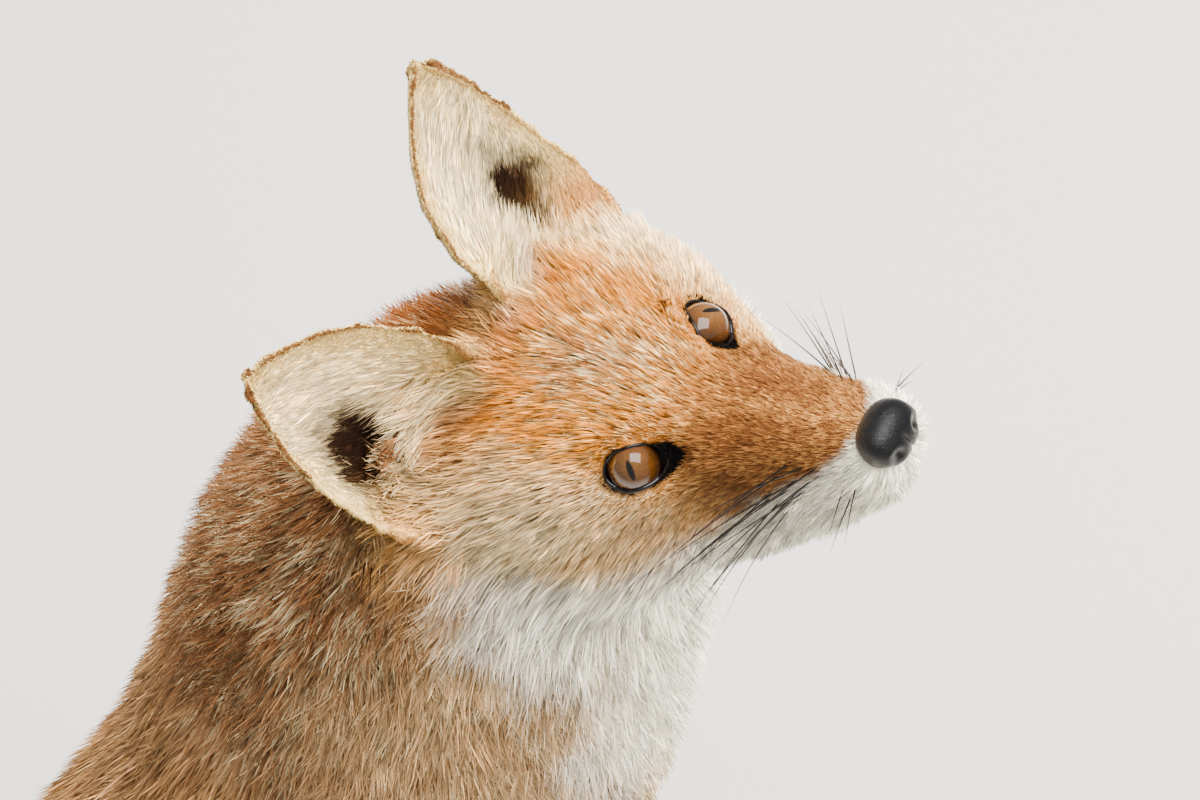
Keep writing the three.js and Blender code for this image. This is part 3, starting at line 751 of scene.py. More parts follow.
def earTones(p, facing):
    up, v, before, side = earMarks(p)
    inside = (facing > -0.5)[:, None]
    centre = hollowCentre(side)
    patch, grey = cloud(p, 5, 22), cloud(p * (1, 1, 0.5), 4, 28)
    # painted shade: the inside of the right ear, on the side away from the light, is a deeper cream
    cream = mix(tones["cream"], tones["ochre"], 0.10 + 0.25 * (side < 0))
    cream = mix(cream, tones["ash"],
                np.clip(0.5 * grey - 0.12, 0, 0.35) * smoothStep(0.8, 0.5, np.abs(v)))
    rim = np.maximum(smoothStep(0.40, 0.90, np.abs(v)), smoothStep(0.62, 0.95, up))
    cream = mix(cream, tones["butter"], rim)
    cream = mix(cream, tones["ochre"], smoothStep(0.24, 0.04, up) * smoothStep(0.3, 0.6, v) * 0.9)
    cream = mix(cream, tones["orange"], smoothStep(0.04, -0.10, up) * smoothStep(0.2, 0.6, v) * 0.6)
    # painted shade in the ear's hollow: the dark spot deepens into the hollow and is larger and darker in the
    # right ear
    tall, broad = np.where(side > 0, 0.19, 0.24), np.where(side > 0, 0.32, 0.40)
    spot = np.exp(-np.hypot((up - 0.23 - 0.05 * patch) / tall, (v - centre + 0.07 * grey) / broad) ** 2.8)
    streak = hill(v - centre + 0.08, 0.07) * smoothStep(-0.16, -0.08, up) * smoothStep(0.25, 0.12, up)
    fleck = 0.5 * np.exp(-np.hypot((up - 0.25) / 0.05, (v - centre - 0.32) / 0.09) ** 2)
    dark = np.where(side > 0, 1.15 + 0.35 * grey, 1.5) * spot * smoothStep(18, 10, before)
    dark = np.clip(dark + 0.9 * streak + fleck, 0, 1)
    cream = mix(cream, mix(tones["bark"], tones["soot"], dark), dark)
    back = mix(tones["ochre"], tones["black"], smoothStep(0.02, 0.30, up + 0.04 * patch))
    edge = np.maximum(smoothStep(0.84, 0.98, np.abs(v)), smoothStep(0.90, 0.99, up))
    back = mix(back, tones["tan"], 0.6 * edge)
    return tuple(np.where(inside, mix(cream, tones[n], s * (1 - dark)), mix(back, tones["soot"], w * 0.6))
                 for n, s, w in (("shade", 0.2, 0.0), ("cream", 0.05, 0.3), ("white", 0.25, 0.8)))


def bibShare(points):  # the pale front of the neck and chest
    p = points / mm
    across, y, z = np.abs(p[:, 0] - middle("chest")[0] / mm), p[:, 1], p[:, 2]
    front = np.interp(z, (40, 100, 200, 300, 400, 460), (-20, -50, -104, -158, -180, -188))
    fleck = cloud(p, 12, 26)
    return smoothStep(30, 0, y - front + 6 * fleck) * smoothStep(60, 32, across + 7 * fleck)


def neckTones(p, bib):
    x, y, z = p.T
    patch, fleck = cloud(p, 24, 23), cloud(p, 7, 24)
    red = smoothStep(0.1, 1.0, patch + 0.5 * fleck) * smoothStep(-30, -90, z)
    mid = mix(tones["umber"], tones["rust"], 0.05 + red * 0.35)
    mid = mix(mid, tones["brown"], 0.75 * smoothStep(-35, -5, z))
    low = smoothStep(0, -32, z) * smoothStep(-145, -105, x)
    root, mid = mix(tones["bark"], tones["brown"], 0.8 * low), mix(mid, tones["sand"], 0.30 * low)
    tip = mix(tones["straw"], tones["orange"], red * 0.4)
    nape = smoothStep(-26, 0, z) * smoothStep(46, 24, np.abs(y))
    mid, tip = mix(mid, tones["rust"], nape * 0.6), mix(tip, tones["orange"], nape * 0.45)
    crown = smoothStep(-78, -60, x) * smoothStep(8, 20, z) * smoothStep(42, 28, np.abs(y))
    mid, tip = mix(mid, tones["rust"], 0.9 * crown), mix(tip, tones["orange"], 0.9 * crown)
    border = np.interp(z, bibBorder["height"], bibBorder["along"])
    pale = smoothStep(-15, 15, x - border + 12 * fleck) * smoothStep(10, -4, z)
    pale = np.maximum(pale, bib)
    return mix(root, tones["bone"], pale), mix(mid, tones["white"], pale), mix(tip, tones["white"], pale)


def bodyTones(points, parts):
    p = points / mm
    patch, fleck = cloud(p, 40, 25), cloud(p, 12, 26)
    across, y, z = np.abs(p[:, 0] - middle("chest")[0] / mm), p[:, 1], p[:, 2]
    front = np.interp(z, (40, 400), (-20, -180))
    bib = bibShare(points)
    back = smoothStep(-60, 60, y - front - 60) * smoothStep(70, 20, across)
    mid = mix(tones["umber"], tones["rust"], np.clip(0.08 + 0.2 * back + 0.32 * patch, 0, 0.65))
    tip = mix(tones["sand"], tones["orange"], np.clip(0.12 + 0.25 * back + 0.35 * fleck, 0, 0.7))
    root = mix(tones["bark"], tones["brown"], 0.5)
    mid = mix(mid, tones["sand"], 0.2)
    torso = region(parts, "chest", "loin", "rump", "neck")
    root = mix(root, tones["bone"], bib * torso)
    mid = mix(mid, tones["cream"], bib * torso)
    tip = mix(tip, tones["white"], bib * torso)

    legs = region(parts, "foreArm", "forePaw")
    stocking = smoothStep(205, 140, z + 10 * fleck) * smoothStep(18, 2, y + 137) * legs
    stocking = np.maximum(stocking, region(parts, "forePaw"))
    hind = np.maximum(region(parts, "hindPaw"), 0.45 * region(parts, "shank"))
    dark = np.clip(np.maximum(stocking, hind), 0, 1)
    mid, tip = mix(mid, tones["soot"], dark * 0.95), mix(tip, tones["soot"], dark * 0.85)
    root = mix(root, tones["black"], dark)

    tail = region(parts, "tail1", "tail2", "tail3", "tail4", "tail5")
    share, _, angle = alongPath(points, tailPath)
    smoky = tail * smoothStep(-0.2, 0.6, cloud(p, 7, 27) + 0.3 * np.cos(angle)) * 0.6
    mid, tip = mix(mid, tones["brown"], smoky * 0.7), mix(tip, tones["soot"], smoky)
    tag = smoothStep(0.80, 0.88, share + 0.015 * fleck) * region(parts, "tail4", "tail5")
    return mix(root, tones["bone"], tag), mix(mid, tones["white"], tag), mix(tip, tones["white"], tag)


def lidEdge(local):  # how far the black rim reaches round the opening
    along, across = local[:, 0], local[:, 1]
    return 0.98 + 0.10 * smoothStep(1, -4, across) + 0.03 * smoothStep(6, 9, along) \
        + 0.75 * smoothStep(-7, -12, along) * hill(across - 0.5, 3.6)


def coatTones(points, parts, outward):  # colour of a hair's root, middle and tip at each place
    headPoints = toHead(points)
    face, ear, neck = (region(parts, n)[:, None] for n in ("face", "ear", "neck"))
    up, v, before, side = earMarks(headPoints)
    # the hollow at the ear's root is lined like the ear, on whichever part it lies
    lining = smoothStep(23, 15, before) * (before > 0) * smoothStep(-0.10, 0.0, up) * smoothStep(0.6, 0.4, up)
    lining = lining * smoothStep(1.15, 0.95, v) * smoothStep(-0.95, -0.75, v)
    lining = (lining * smoothStep(-8, 0, headPoints[:, 2]))[:, None]
    ear, face, neck = np.maximum(ear, lining), face * (1 - lining), neck * (1 - lining)
    facing = np.where(lining[:, 0] > 0.3, 1, earFacing(outward, side))
    sets = (faceTones(headPoints), earTones(headPoints, facing), neckTones(headPoints, bibShare(points)),
            bodyTones(points, parts))
    rest = np.clip(1 - face - ear - neck, 0, 1)
    onLeft = leftward(headPoints)
    # painted shade runs along the crease from the ear's hollow onto the head, fainter on the lit left side
    creaseShade = hill(toSegment(onLeft, (-78, 44, 31), (-60, 36, 24)), 2.6) * np.where(side > 0, 0.45, 1.0)
    gold = 0.7 * hill(np.linalg.norm(onLeft - (-64, 57, 8), axis=1), 13)
    local = eyePlaces(headPoints)
    reach = openingReach(local[:, 0], local[:, 1])
    ragged = 0.04 * cloud(headPoints, 1.2, 29)
    lid = smoothStep(0.14, 0.0, reach - lidEdge(local) + ragged) * (local[:, 2] > -2)
    blends = (f * face + e * ear + k * neck + b * rest for f, e, k, b in zip(*sets))
    return tuple(mix(mix(mix(c, tones["ochre"], gold), tones["soot"], creaseShade),
                     tones["black"] * 0.6, lid) for c in blends)


skinNormals = skin.normals()
headPlaces = toHead(skin.points)
proud = 0.0015  # marks are read a little outside the skin, so that an ear's two sides keep apart
rootTones, midTones, _ = coatTones(skin.points + skinNormals * proud, shares, skinNormals)
skinTones = mix(rootTones, midTones, 0.6)
skinTones = mix(skinTones, tones["black"] * 0.6, smoothStep(0.25, 0.7, mouthShare))
skinTones = skinTones * toeShade(skin.points)


# materials
def newMaterial(name, roughness, specular=0.5, coat=0.0, coatRoughness=0.03, sheen=0.0):
    paint = bpy.data.materials.new(name)
    paint.use_nodes = True
    shader = paint.node_tree.nodes["Principled BSDF"]
    for socket, value in (("Roughness", roughness), ("Specular IOR Level", specular), ("Coat Weight", coat),
                          ("Coat Roughness", coatRoughness), ("Sheen Weight", sheen)):
        shader.inputs[socket].default_value = value
    return paint, paint.node_tree, shader


def addNode(tree, kind, **settings):
    node = tree.nodes.new(kind)
    for key, value in settings.items():
        if hasattr(node, key):
            setattr(node, key, value)
        else:
            node.inputs[key.replace("_", " ")].default_value = value
    return node


def link(tree, source, output, target, socket):
    tree.links.new(source.outputs[output], target.inputs[socket])


def pattern(tree, kind, **settings):  # a texture laid by the object's own coordinates
    place = addNode(tree, "ShaderNodeTexCoord")
    texture = addNode(tree, kind, **settings)
    link(tree, place, "Object", texture, "Vector")
    return texture


def bumped(tree, shader, texture, depth, strength):
    bump = addNode(tree, "ShaderNodeBump", Strength=strength, Distance=depth)
    link(tree, texture, 0, bump, "Height")
    link(tree, bump, "Normal", shader, "Normal")


def twoToned(tree, shader, texture, low, high):
    shade = addNode(tree, "ShaderNodeValToRGB")
    shade.color_ramp.elements[0].color = (*low, 1)
    shade.color_ramp.elements[1].color = (*high, 1)
    link(tree, texture, 0, shade, "Fac")
    link(tree, shade, "Color", shader, "Base Color")


def streaked(tree, shader, toneName, texture, low, high, bumpDepth, bumpStrength):
    # the piece's own colour, lightened and darkened by a pattern that also lifts the surface
    colour = addNode(tree, "ShaderNodeAttribute", attribute_name=toneName)
    spread = addNode(tree, "ShaderNodeMapRange", To_Min=low, To_Max=high)
    link(tree, texture, 0, spread, "Value")
    product = addNode(tree, "ShaderNodeVectorMath", operation="SCALE")
    link(tree, colour, "Vector", product, 0)
    link(tree, spread, "Result", product, "Scale")
    link(tree, product, "Vector", shader, "Base Color")
    bumped(tree, shader, texture, bumpDepth, bumpStrength)


def skinMaterial():
    paint, tree, shader = newMaterial("skin under the coat", 0.7, 0.2)
    grain = pattern(tree, "ShaderNodeTexNoise", Scale=900.0, Detail=3.0)
    streaked(tree, shader, "coatTone", grain, 0.55, 1.35, 0.0004, 0.6)
    return paint


def coatMaterial():
    paint, tree, shader = newMaterial("coat", 0.72, 0.12)
    strand = addNode(tree, "ShaderNodeAttribute", attribute_name="strand")
    place = addNode(tree, "ShaderNodeVectorMath", operation="MULTIPLY")
    place.inputs[1].default_value = (2.6, 0.9, 61.0)
    link(tree, strand, "Vector", place, 0)
    hairs = addNode(tree, "ShaderNodeTexNoise", Scale=1.0, Detail=2.0, Roughness=0.6)
    link(tree, place, "Vector", hairs, "Vector")
    streaked(tree, shader, "coatTone", hairs, 0.45, 1.55, 0.0003, 0.5)
    return paint


skinPiece = meshPiece("skin", skin.points, skin.triangles)
paintPoints(skinPiece, "coatTone", skinTones)
skinPiece.data.materials.append(skinMaterial())
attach(skinPiece, "root")
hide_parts(*fleshNodes)
print("skin is finished with", len(skin.triangles), "triangles")

# how long, wide, close and tidy the tufts are at each place of the skin
hx, hy, hz = headPlaces.T
faceLength = 2.9 + 1.6 * smoothStep(60, 20, hx) + 3.5 * smoothStep(14, -24, hx)
faceLength += 5.0 * smoothStep(-30, -66, hx)
faceLength += 4.0 * smoothStep(-9, -17, hz) * smoothStep(34, 50, hx) * smoothStep(90, 78, hx)
faceLength += 2.5 * smoothStep(10, -6, hx) * smoothStep(0, 10, hz)
jawShare = smoothStep(-20, -28, hz) * smoothStep(-5, 25, hx) * smoothStep(66, 48, hx)
faceLength += 4.0 * jawShare
faceLength += 8.0 * smoothStep(-8, -30, hz) * smoothStep(6, -30, hx) \
    + 5.0 * smoothStep(40, 56, np.abs(hy)) * smoothStep(0, -24, hx)
faceWidth = 0.38 + 0.12 * smoothStep(30, -20, hx) + 0.3 * smoothStep(8, 20, faceLength)
faceCount = 300 - 90 * smoothStep(20, -30, hx) - 70 * smoothStep(9, 18, faceLength)
faceLength *= 0.28 + 0.72 * smoothStep(1.1, 2.5, lidReach)
earUp, earAcross, earBefore, earSide = earMarks(toHead(skin.points + skinNormals * proud))
earRim = np.maximum(smoothStep(0.74, 0.88, np.abs(earAcross)), smoothStep(0.86, 0.95, earUp))
inHollow = 10.0 * (earBefore > 0) * smoothStep(0.80, 0.4, np.abs(earAcross)) * smoothStep(0.95, 0.5, earUp)
earLength = 2.8 - 0.6 * earRim + inHollow
inCanal = np.exp(-np.hypot((earUp - 0.22) / 0.26, (earAcross - hollowCentre(earSide)) / 0.38) ** 4)
earLength *= 1 - 0.6 * inCanal * (earBefore > 0)
earLength *= 1 - 0.55 * earRim * (earFacing(skinNormals, earSide) < -0.3)
isFace, isEar = region(shares, "face"), region(shares, "ear")
lipShare = isFace * smoothStep(-10, -18, hz) * smoothStep(26, 46, hx)
isTail = region(shares, "tail1", "tail2", "tail3", "tail4", "tail5")
tuftDepth = coatDepth * (1 - 0.28 * isTail) + 1.9 * lipShare + 3.4 * isFace * jawShare \
    + 2.5 * region(shares, "neck")
tailEnd = smoothStep(0.92, 1.0, alongPath(skin.points, tailPath)[0]) * isTail
_, plainLength, plainWidth, plainCount = regionCoat["face"]
tuftLength = shares @ coatTable[:, 1] * (1 - 0.5 * tailEnd) + isFace * (faceLength - plainLength) \
    + isEar * (earLength - regionCoat["ear"][1])
tuftWidth = shares @ coatTable[:, 2] + isFace * (faceWidth - plainWidth) - isEar * 0.15 * earRim
tuftCount = shares @ coatTable[:, 3] + isFace * (faceCount - plainCount) + isEar * 330 * earRim
tuftCount = tuftCount / 100  # to a square mm
tidiness = 1 - 0.8 * isEar * earRim - 0.5 * isFace * smoothStep(1.9, 1.3, lidReach)
bare = np.maximum(lidReach < 1.09, mouthShare > 0.45)
noseGap = np.linalg.norm((headPlaces - (82.9, 0, -12.8)) / (0.80, 1.12, 0.86), axis=1) < 9.2
bare = np.maximum(bare, noseGap)
floorShare = smoothStep(0.004, 0.010, skin.points[:, 2])
tuftCount = tuftCount * (1 - bare) * (0.15 + 0.85 * floorShare)
skinAreas = skin.areas()

coatPieces = {  # regions, tufts to a lock, pull of a lock, straying, share of the count
    "face": (("face",), 5, 0.3, 0.5, 1.0),
    "ears": (("ear",), 4, 0.2, 0.6, 0.9),
    "neck": (("neck",), 10, 0.55, 1.9, 1.0),
    "chest": (("chest", "upperArm"), 8, 0.5, 1.0, 0.9),
    "back": (("loin", "rump"), 8, 0.5, 1.0, 0.9),
    "forelegs": (("foreArm", "forePaw"), 4, 0.3, 0.6, 0.8),
    "hindlegs": (("thigh", "shank", "hindPaw"), 6, 0.4, 0.8, 0.8),
    "tail": (("tail1", "tail2", "tail3", "tail4", "tail5"), 6, 0.6, 0.6, 1.0),
}
tuftPlan = {
    "stations": 3,  # places along a tuft where it bends
    "flat": ("face", "ears", "neck", "forelegs"),  # pieces whose tufts have no ridge
    "patch": 0.003,  # size of a tuft on the unwrap
    "sunk": 0.0006,  # how deep its root sits in the skin
    "pastBox": 0.008,  # how far its tip may stand past the solids' box
    "floor": 0.0004,  # lowest place of a hair
    "triangles": 195000,  # at most this many in a piece
}
skinTree = BVHTree.FromPolygons(skin.points.tolist(), skin.triangles.tolist())
coatPaint = coatMaterial()


def pickRoots(weight, rng):
    perTriangle = weight[skin.triangles].mean(1) * skinAreas
    total = np.cumsum(perTriangle)
    count = int(total[-1])
    picks = (np.arange(count) + rng.random(count)) / count * total[-1]
    triangle = np.minimum(np.searchsorted(total, picks), len(skin.triangles) - 1)
    a, b = rng.random(count), rng.random(count)
    flip = a + b > 1
    a, b = np.where(flip, 1 - a, a), np.where(flip, 1 - b, b)
    return skin.triangles[triangle], np.stack([1 - a - b, a, b], 1)


def atRoots(corners, blend, values):
    values = values if values.ndim > 1 else values[:, None]
    return (values[corners] * blend[:, :, None]).sum(1)


def inLocks(roots, perLock, rng):  # the number of the lock that each tuft belongs to
    chosen = rng.permutation(len(roots))[:max(1, len(roots) // perLock)]
    tree = KDTree(len(chosen))
    for k, spot in enumerate(roots[chosen].tolist()):
        tree.insert(spot, k)
    tree.balance()
    return chosen, np.array([tree.find(spot)[1] for spot in roots.tolist()])


def unwrapPlaces(name, roots):  # a place from 0 to 1 on an unwrap of the part that the tuft grows on
    headRoots = toHead(roots)
    if name == "face":
        turn = np.arctan2(headRoots[:, 1], headRoots[:, 2] + 14)
        return np.stack([turn / (2 * np.pi) + 0.5, (headRoots[:, 0] + 90) / 185], 1)
    if name == "ears":
        up, v, before, side = earMarks(headRoots)
        column = (side > 0) * 2 + (before > 0)
        return np.stack([(column + 0.5 + 0.44 * np.clip(v, -1, 1)) / 4, 0.1 + 0.85 * up], 1)
    if name in ("forelegs", "hindlegs"):
        middleX = middle("chest")[0]
        legX = np.where(roots[:, 0] > middleX, 1, -1)
        centre = middle("forearm_left" if name == "forelegs" else "thigh_left")
        outward = (roots[:, 0] - middleX) * legX - (centre[0] - middleX)
        turn = np.arctan2(roots[:, 1] - centre[1], outward) / (2 * np.pi) + 0.5
        return np.stack([(turn + (legX > 0)) / 2, roots[:, 2] / 0.22], 1)
    share, _, angle = alongPath(roots, tailPath if name == "tail" else spinePath)
    low, high = np.percentile(share, (1, 99))
    return np.stack([angle / (2 * np.pi) + 0.5, (share - low) / (high - low)], 1)


def settled(tips, heights, lengths):  # tips brought to their height over the skin, where the body curves away
    found = [skinTree.find_nearest(p)[:2] for p in tips.tolist()]
    spots = np.array([f[0] for f in found])
    faces = np.array([f[1] for f in found])
    lift = ((tips - spots) * faces).sum(1)
    change = np.clip(heights - lift, -0.7 * lengths, 0.3 * lengths)
    return tips + faces * change[:, None]


def growCoat(name, order):
    members, perLock, pull, stray, countShare = coatPieces[name]
    rng = np.random.default_rng(100 + order)
    corners, blend = pickRoots(tuftCount * region(shares, *members) * countShare, rng)
    roots = atRoots(corners, blend, skin.points)
    normals = unit(atRoots(corners, blend, skinNormals))
    ways = atRoots(corners, blend, coatWay)
    parts = atRoots(corners, blend, shares)
    length, width, depth, tidy = (atRoots(corners, blend, f)[:, 0]
                                  for f in (tuftLength, tuftWidth, tuftDepth, 1 - tidiness))
    count = len(roots)
    chosen, lock = inLocks(roots, perLock, rng)
    lockDraw = rng.normal(size=(len(chosen), 4))[lock]
    own = rng.normal(size=(count, 5))

    ways = unit(ways - normals * (ways * normals).sum(1)[:, None])
    sideways = np.cross(normals, ways)
    stir = 0.30 * cloud(roots, 0.018, 40 + order) + 0.16 * lockDraw[:, 0] + 0.14 * own[:, 0]
    drift = stray * (1 - tidy) * stir
    heading = ways * np.cos(drift)[:, None] + sideways * np.sin(drift)[:, None]
    length = length * np.clip(1 + 0.12 * lockDraw[:, 1] + 0.15 * own[:, 1], 0.45, 1.3)
    rise = np.clip(depth / length, 0.08, 0.62)
    rise = rise * np.clip(0.86 + 0.12 * lockDraw[:, 2] + 0.14 * own[:, 2], 0.3, 1.12)
    run = np.sqrt(np.maximum(1 - rise ** 2, 0.2))
    tips = roots + (heading * run[:, None] + normals * rise[:, None]) * (length * mm)[:, None]
    drawn = (tips[chosen][lock] - tips) * (pull * (1 - tidy) * (0.6 + 0.4 * rng.random(count)))[:, None]
    drawn *= np.minimum(1, 0.35 * length * mm / np.maximum(np.linalg.norm(drawn, axis=1), 1e-9))[:, None]
    tips = settled(tips + drawn, rise * length * mm, length * mm)
    tips = np.clip(tips, np.array(cadBox[0]) - tuftPlan["pastBox"],
                   np.array(cadBox[1]) + tuftPlan["pastBox"])
    bends = roots + (heading * 0.5 * run[:, None] + normals * (0.62 * rise)[:, None]) * (length * mm)[:, None]

    roll = 0.35 * own[:, 3]
    flatWay = unit(np.cross(normals, heading))
    broad = flatWay * np.cos(roll)[:, None] + normals * np.sin(roll)[:, None]
    ridgeWay = np.cross(broad, heading)
    flat = name in tuftPlan["flat"]
    stations = tuftPlan["stations"]
    places = np.linspace(0, 1, stations) ** (0.9 if flat else 1.0)
    widths = np.interp(places, (0, 0.4, 1), (0.75, 1.0, 0.0))
    offsets = (-1, 1) if flat else (-1, 0, 1)
    points, strand, colours, patches = [], [], [], []
    rootTone, midTone, tipTone = coatTones(roots + normals * proud, parts, normals)
    if name in ("forelegs", "hindlegs"):
        rootTone, midTone, tipTone = (c * toeShade(roots) for c in (rootTone, midTone, tipTone))
    plain = smoothStep(-0.3, 0.5, 0.8 * lockDraw[:, 2] + 0.6 * own[:, 2])  # some hairs have no pale tip
    tipTone = mix(tipTone, midTone * 0.9, plain)
    calm = 1 - 0.5 * smoothStep(6.0, 3.5, length)  # short hair is more even in tone
    brightness = np.exp(calm * (0.28 * lockDraw[:, 3] + 0.34 * own[:, 4]) - 0.03)[:, None]
    warmth = np.exp(0.05 * rng.normal(size=(count, 1)) * np.array([[0.3, -0.2, -1.0]]))
    home = np.clip(unwrapPlaces(name, roots + normals * proud), 0.002, 0.996)
    label = rng.random(count)
    for k, t in enumerate(places):
        centre = roots * (1 - t) ** 2 + bends * 2 * t * (1 - t) + tips * t * t
        centre = centre - normals * (tuftPlan["sunk"] if k == 0 else 0)
        here = mix(mix(rootTone, midTone, smoothStep(0.0, 0.4, t)), tipTone, smoothStep(0.2, 0.8, t))
        for side in (offsets if k < stations - 1 else (0,)):
            spread = broad * (side * 0.5 * width * widths[k] * mm)[:, None]
            if not flat:
                spread = spread + ridgeWay * ((0.35 if side == 0 else 0) * width * widths[k] * mm)[:, None]
            points.append(centre + spread)
            strand.append(np.stack([np.full(count, side * 1.0), np.full(count, t), label], 1))
            colours.append(here * brightness * warmth)
            patches.append(home + tuftPlan["patch"] * np.array([0.5 * side, t - 0.5]))
    perTuft = len(points)
    points, strand, colours, patches = (np.stack(a, 1).reshape(count * perTuft, -1)
                                        for a in (points, strand, colours, patches))
    points[:, 2] = np.maximum(points[:, 2], tuftPlan["floor"])
    wide = len(offsets)
    faces = []
    for k in range(stations - 2):
        for s in range(wide - 1):
            a, b = k * wide + s, (k + 1) * wide + s
            faces += [(a, a + 1, b + 1), (a, b + 1, b)]
    last = (stations - 2) * wide
    faces += [(last + s, last + s + 1, perTuft - 1) for s in range(wide - 1)]
    faces = np.array(faces)
    limitTufts = tuftPlan["triangles"] // len(faces)
    split = max(1, math.ceil(count / limitTufts))
    sequence = np.argsort(-home[:, 1] if name == "face" else home[:, 0], kind="stable")
    for number, group in enumerate(np.array_split(sequence, split)):
        vertexOrder = (group[:, None] * perTuft + np.arange(perTuft)).ravel()
        triangles = (np.arange(len(group))[:, None, None] * perTuft + faces[None]).reshape(-1, 3)
        title = f"coat_{name}" + (f"_{number + 1}" if split > 1 else "")
        piece = meshPiece(title, points[vertexOrder], triangles)
        paintPoints(piece, "coatTone", colours[vertexOrder])
        paintPoints(piece, "strand", strand[vertexOrder])
        layer = piece.data.uv_layers.new(name="OFBake")
        layer.data.foreach_set("uv", patches[vertexOrder][triangles.ravel()].astype(np.float32).ravel())
        piece.data.materials.append(coatPaint)
        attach(piece, "root")
        print(title, "has", len(group), "tufts and", len(triangles), "triangles")
    return len(faces) * count


total = sum(growCoat(name, order) for order, name in enumerate(coatPieces))
print("the coat has", total, "triangles")

# eyes
eyePlan = {"rings": 70, "around": 96, "bulge": 0.05, "iris": 0.93, "pupilWide": 0.95, "pupilTall": 3.3}


def ballGrid(rings, around, spacing=1.0):  # angles from the pole, angles round it, and the faces between
    fromPole = np.linspace(0, 1, rings + 1)[1:-1] ** spacing * math.pi
    roundIt = np.linspace(0, 2 * math.pi, around, endpoint=False)
    a, b = np.meshgrid(fromPole, roundIt, indexing="ij")
    a = np.concatenate([[0], a.ravel(), [math.pi]])
    b = np.concatenate([[0], b.ravel(), [0]])
    faces = []
    for k in range(around):
        n = (k + 1) % around
        faces.append((0, 1 + k, 1 + n))
        for r in range(rings - 2):
            p, q = 1 + r * around, 1 + (r + 1) * around
            faces += [(p + k, q + k, q + n), (p + k, q + n, p + n)]
        end = 1 + (rings - 2) * around
        faces.append((end + k, len(a) - 1, end + n))
    return a, b, np.array(faces)


def eyeMaterial():
    paint, tree, shader = newMaterial("eye", 0.12, 0.5, coat=1.0, coatRoughness=0.02)
    fibre = pattern(tree, "ShaderNodeTexNoise", Scale=1500.0, Detail=3.0)
    streaked(tree, shader, "eyeTone", fibre, 0.75, 1.25, 0.00002, 0.2)
    return paint


def onEachSide(local):  # places in the eye's frame, put on the left and then the right of the head
    for name, side in (("left", 1), ("right", -1)):
        points = local @ eyeFrame + headPlan["eyeCentre"]
        points[:, 1] *= side
        yield name, side, fromHead(points)


# a face list made for the eye's frame keeps its outward side only if that frame is right-handed
handed = 1 if np.linalg.det(eyeFrame) * np.linalg.det(headAxes) > 0 else -1


def makeEyes():
    paint = eyeMaterial()
    fromPole, turn, faces = ballGrid(eyePlan["rings"], eyePlan["around"], 1.3)
    radius = headPlan["eyeRadius"] * (1 + eyePlan["bulge"] * smoothStep(0.95, 0.3, fromPole))
    local = np.stack([np.sin(fromPole) * np.cos(turn), np.sin(fromPole) * np.sin(turn), np.cos(fromPole)], 1)
    local *= radius[:, None]
    far = np.sin(fromPole)
    rays = cloud(np.stack([np.cos(turn) * 9, np.sin(turn) * 9, far * 2.5], 1), 1.0, 51)
    iris = mix(tone(110, 78, 40), tone(98, 64, 28), smoothStep(0.15, 0.6, far))
    iris = mix(iris, tone(62, 40, 22), smoothStep(0.5, 0.88, far) * 0.85)
    iris = iris * np.exp(0.22 * rays)[:, None]
    iris = mix(iris, tone(28, 17, 12), smoothStep(eyePlan["iris"] - 0.09, eyePlan["iris"], far))
    slit = (np.abs(local[:, 0]) / eyePlan["pupilWide"]) ** 1.6
    slit += (np.abs(local[:, 1]) / eyePlan["pupilTall"]) ** 2
    iris = mix(iris, tone(8, 6, 6), smoothStep(1.25, 0.85, slit))
    for name, side, points in onEachSide(local):
        piece = meshPiece(f"eyeball_{name}", points, faces if handed * side > 0 else faces[:, ::-1])
        paintPoints(piece, "eyeTone", iris)
        piece.data.materials.append(paint)
        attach(piece, "root")
        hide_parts(f"eye_{name}")


def makeLidRims():
    paint, tree, shader = newMaterial("wet lid edge", 0.22, 0.5, coat=0.6, coatRoughness=0.1)
    grain = pattern(tree, "ShaderNodeTexNoise", Scale=1800.0, Detail=2.0)
    streaked(tree, shader, "lidTone", grain, 0.6, 1.4, 0.00008, 0.3)
    turn = np.linspace(0, 2 * math.pi, 96, endpoint=False)
    long = np.where(np.cos(turn) > 0, lidPlan["outer"], lidPlan["inner"])
    along = long * np.sign(np.cos(turn)) * np.abs(np.cos(turn)) ** (2 / 2.2)
    across = lidPlan["tall"] * np.sign(np.sin(turn)) * np.abs(np.sin(turn)) ** (2 / 1.9)
    centre = np.stack([along, across, lidHeight(along, across) - 0.35], 1)
    tangent = unit(np.roll(centre, -1, 0) - np.roll(centre, 1, 0))
    outward = unit(np.stack([along, across, 0 * along], 1))
    up = unit(np.cross(tangent, outward))
    outward = unit(np.cross(up, tangent))
    thick = lidPlan["rim"] * (1 + 0.5 * smoothStep(1, -4, across) + 0.3 * smoothStep(6, 9, along))
    ringSteps = np.linspace(0, 2 * math.pi, 10, endpoint=False)
    points = centre[:, None] + thick[:, None, None] * (
        outward[:, None] * np.cos(ringSteps)[None, :, None] + up[:, None] * np.sin(ringSteps)[None, :, None])
    count, wide = len(turn), len(ringSteps)
    faces = []
    for k in range(count):
        for s in range(wide):
            a, b = k * wide + s, k * wide + (s + 1) % wide
            c, d = (k + 1) % count * wide + (s + 1) % wide, (k + 1) % count * wide + s
            faces += [(a, b, c), (a, c, d)]
    faces = np.array(faces)
    for name, _, places in onEachSide(points.reshape(-1, 3)):
        piece = meshPiece(f"lid_edge_{name}", places, faces)
        facingOut(piece)
        paintPoints(piece, "lidTone", np.tile(tones["black"] * 0.8, (len(places), 1)))
        piece.data.materials.append(paint)
        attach(piece, "root")


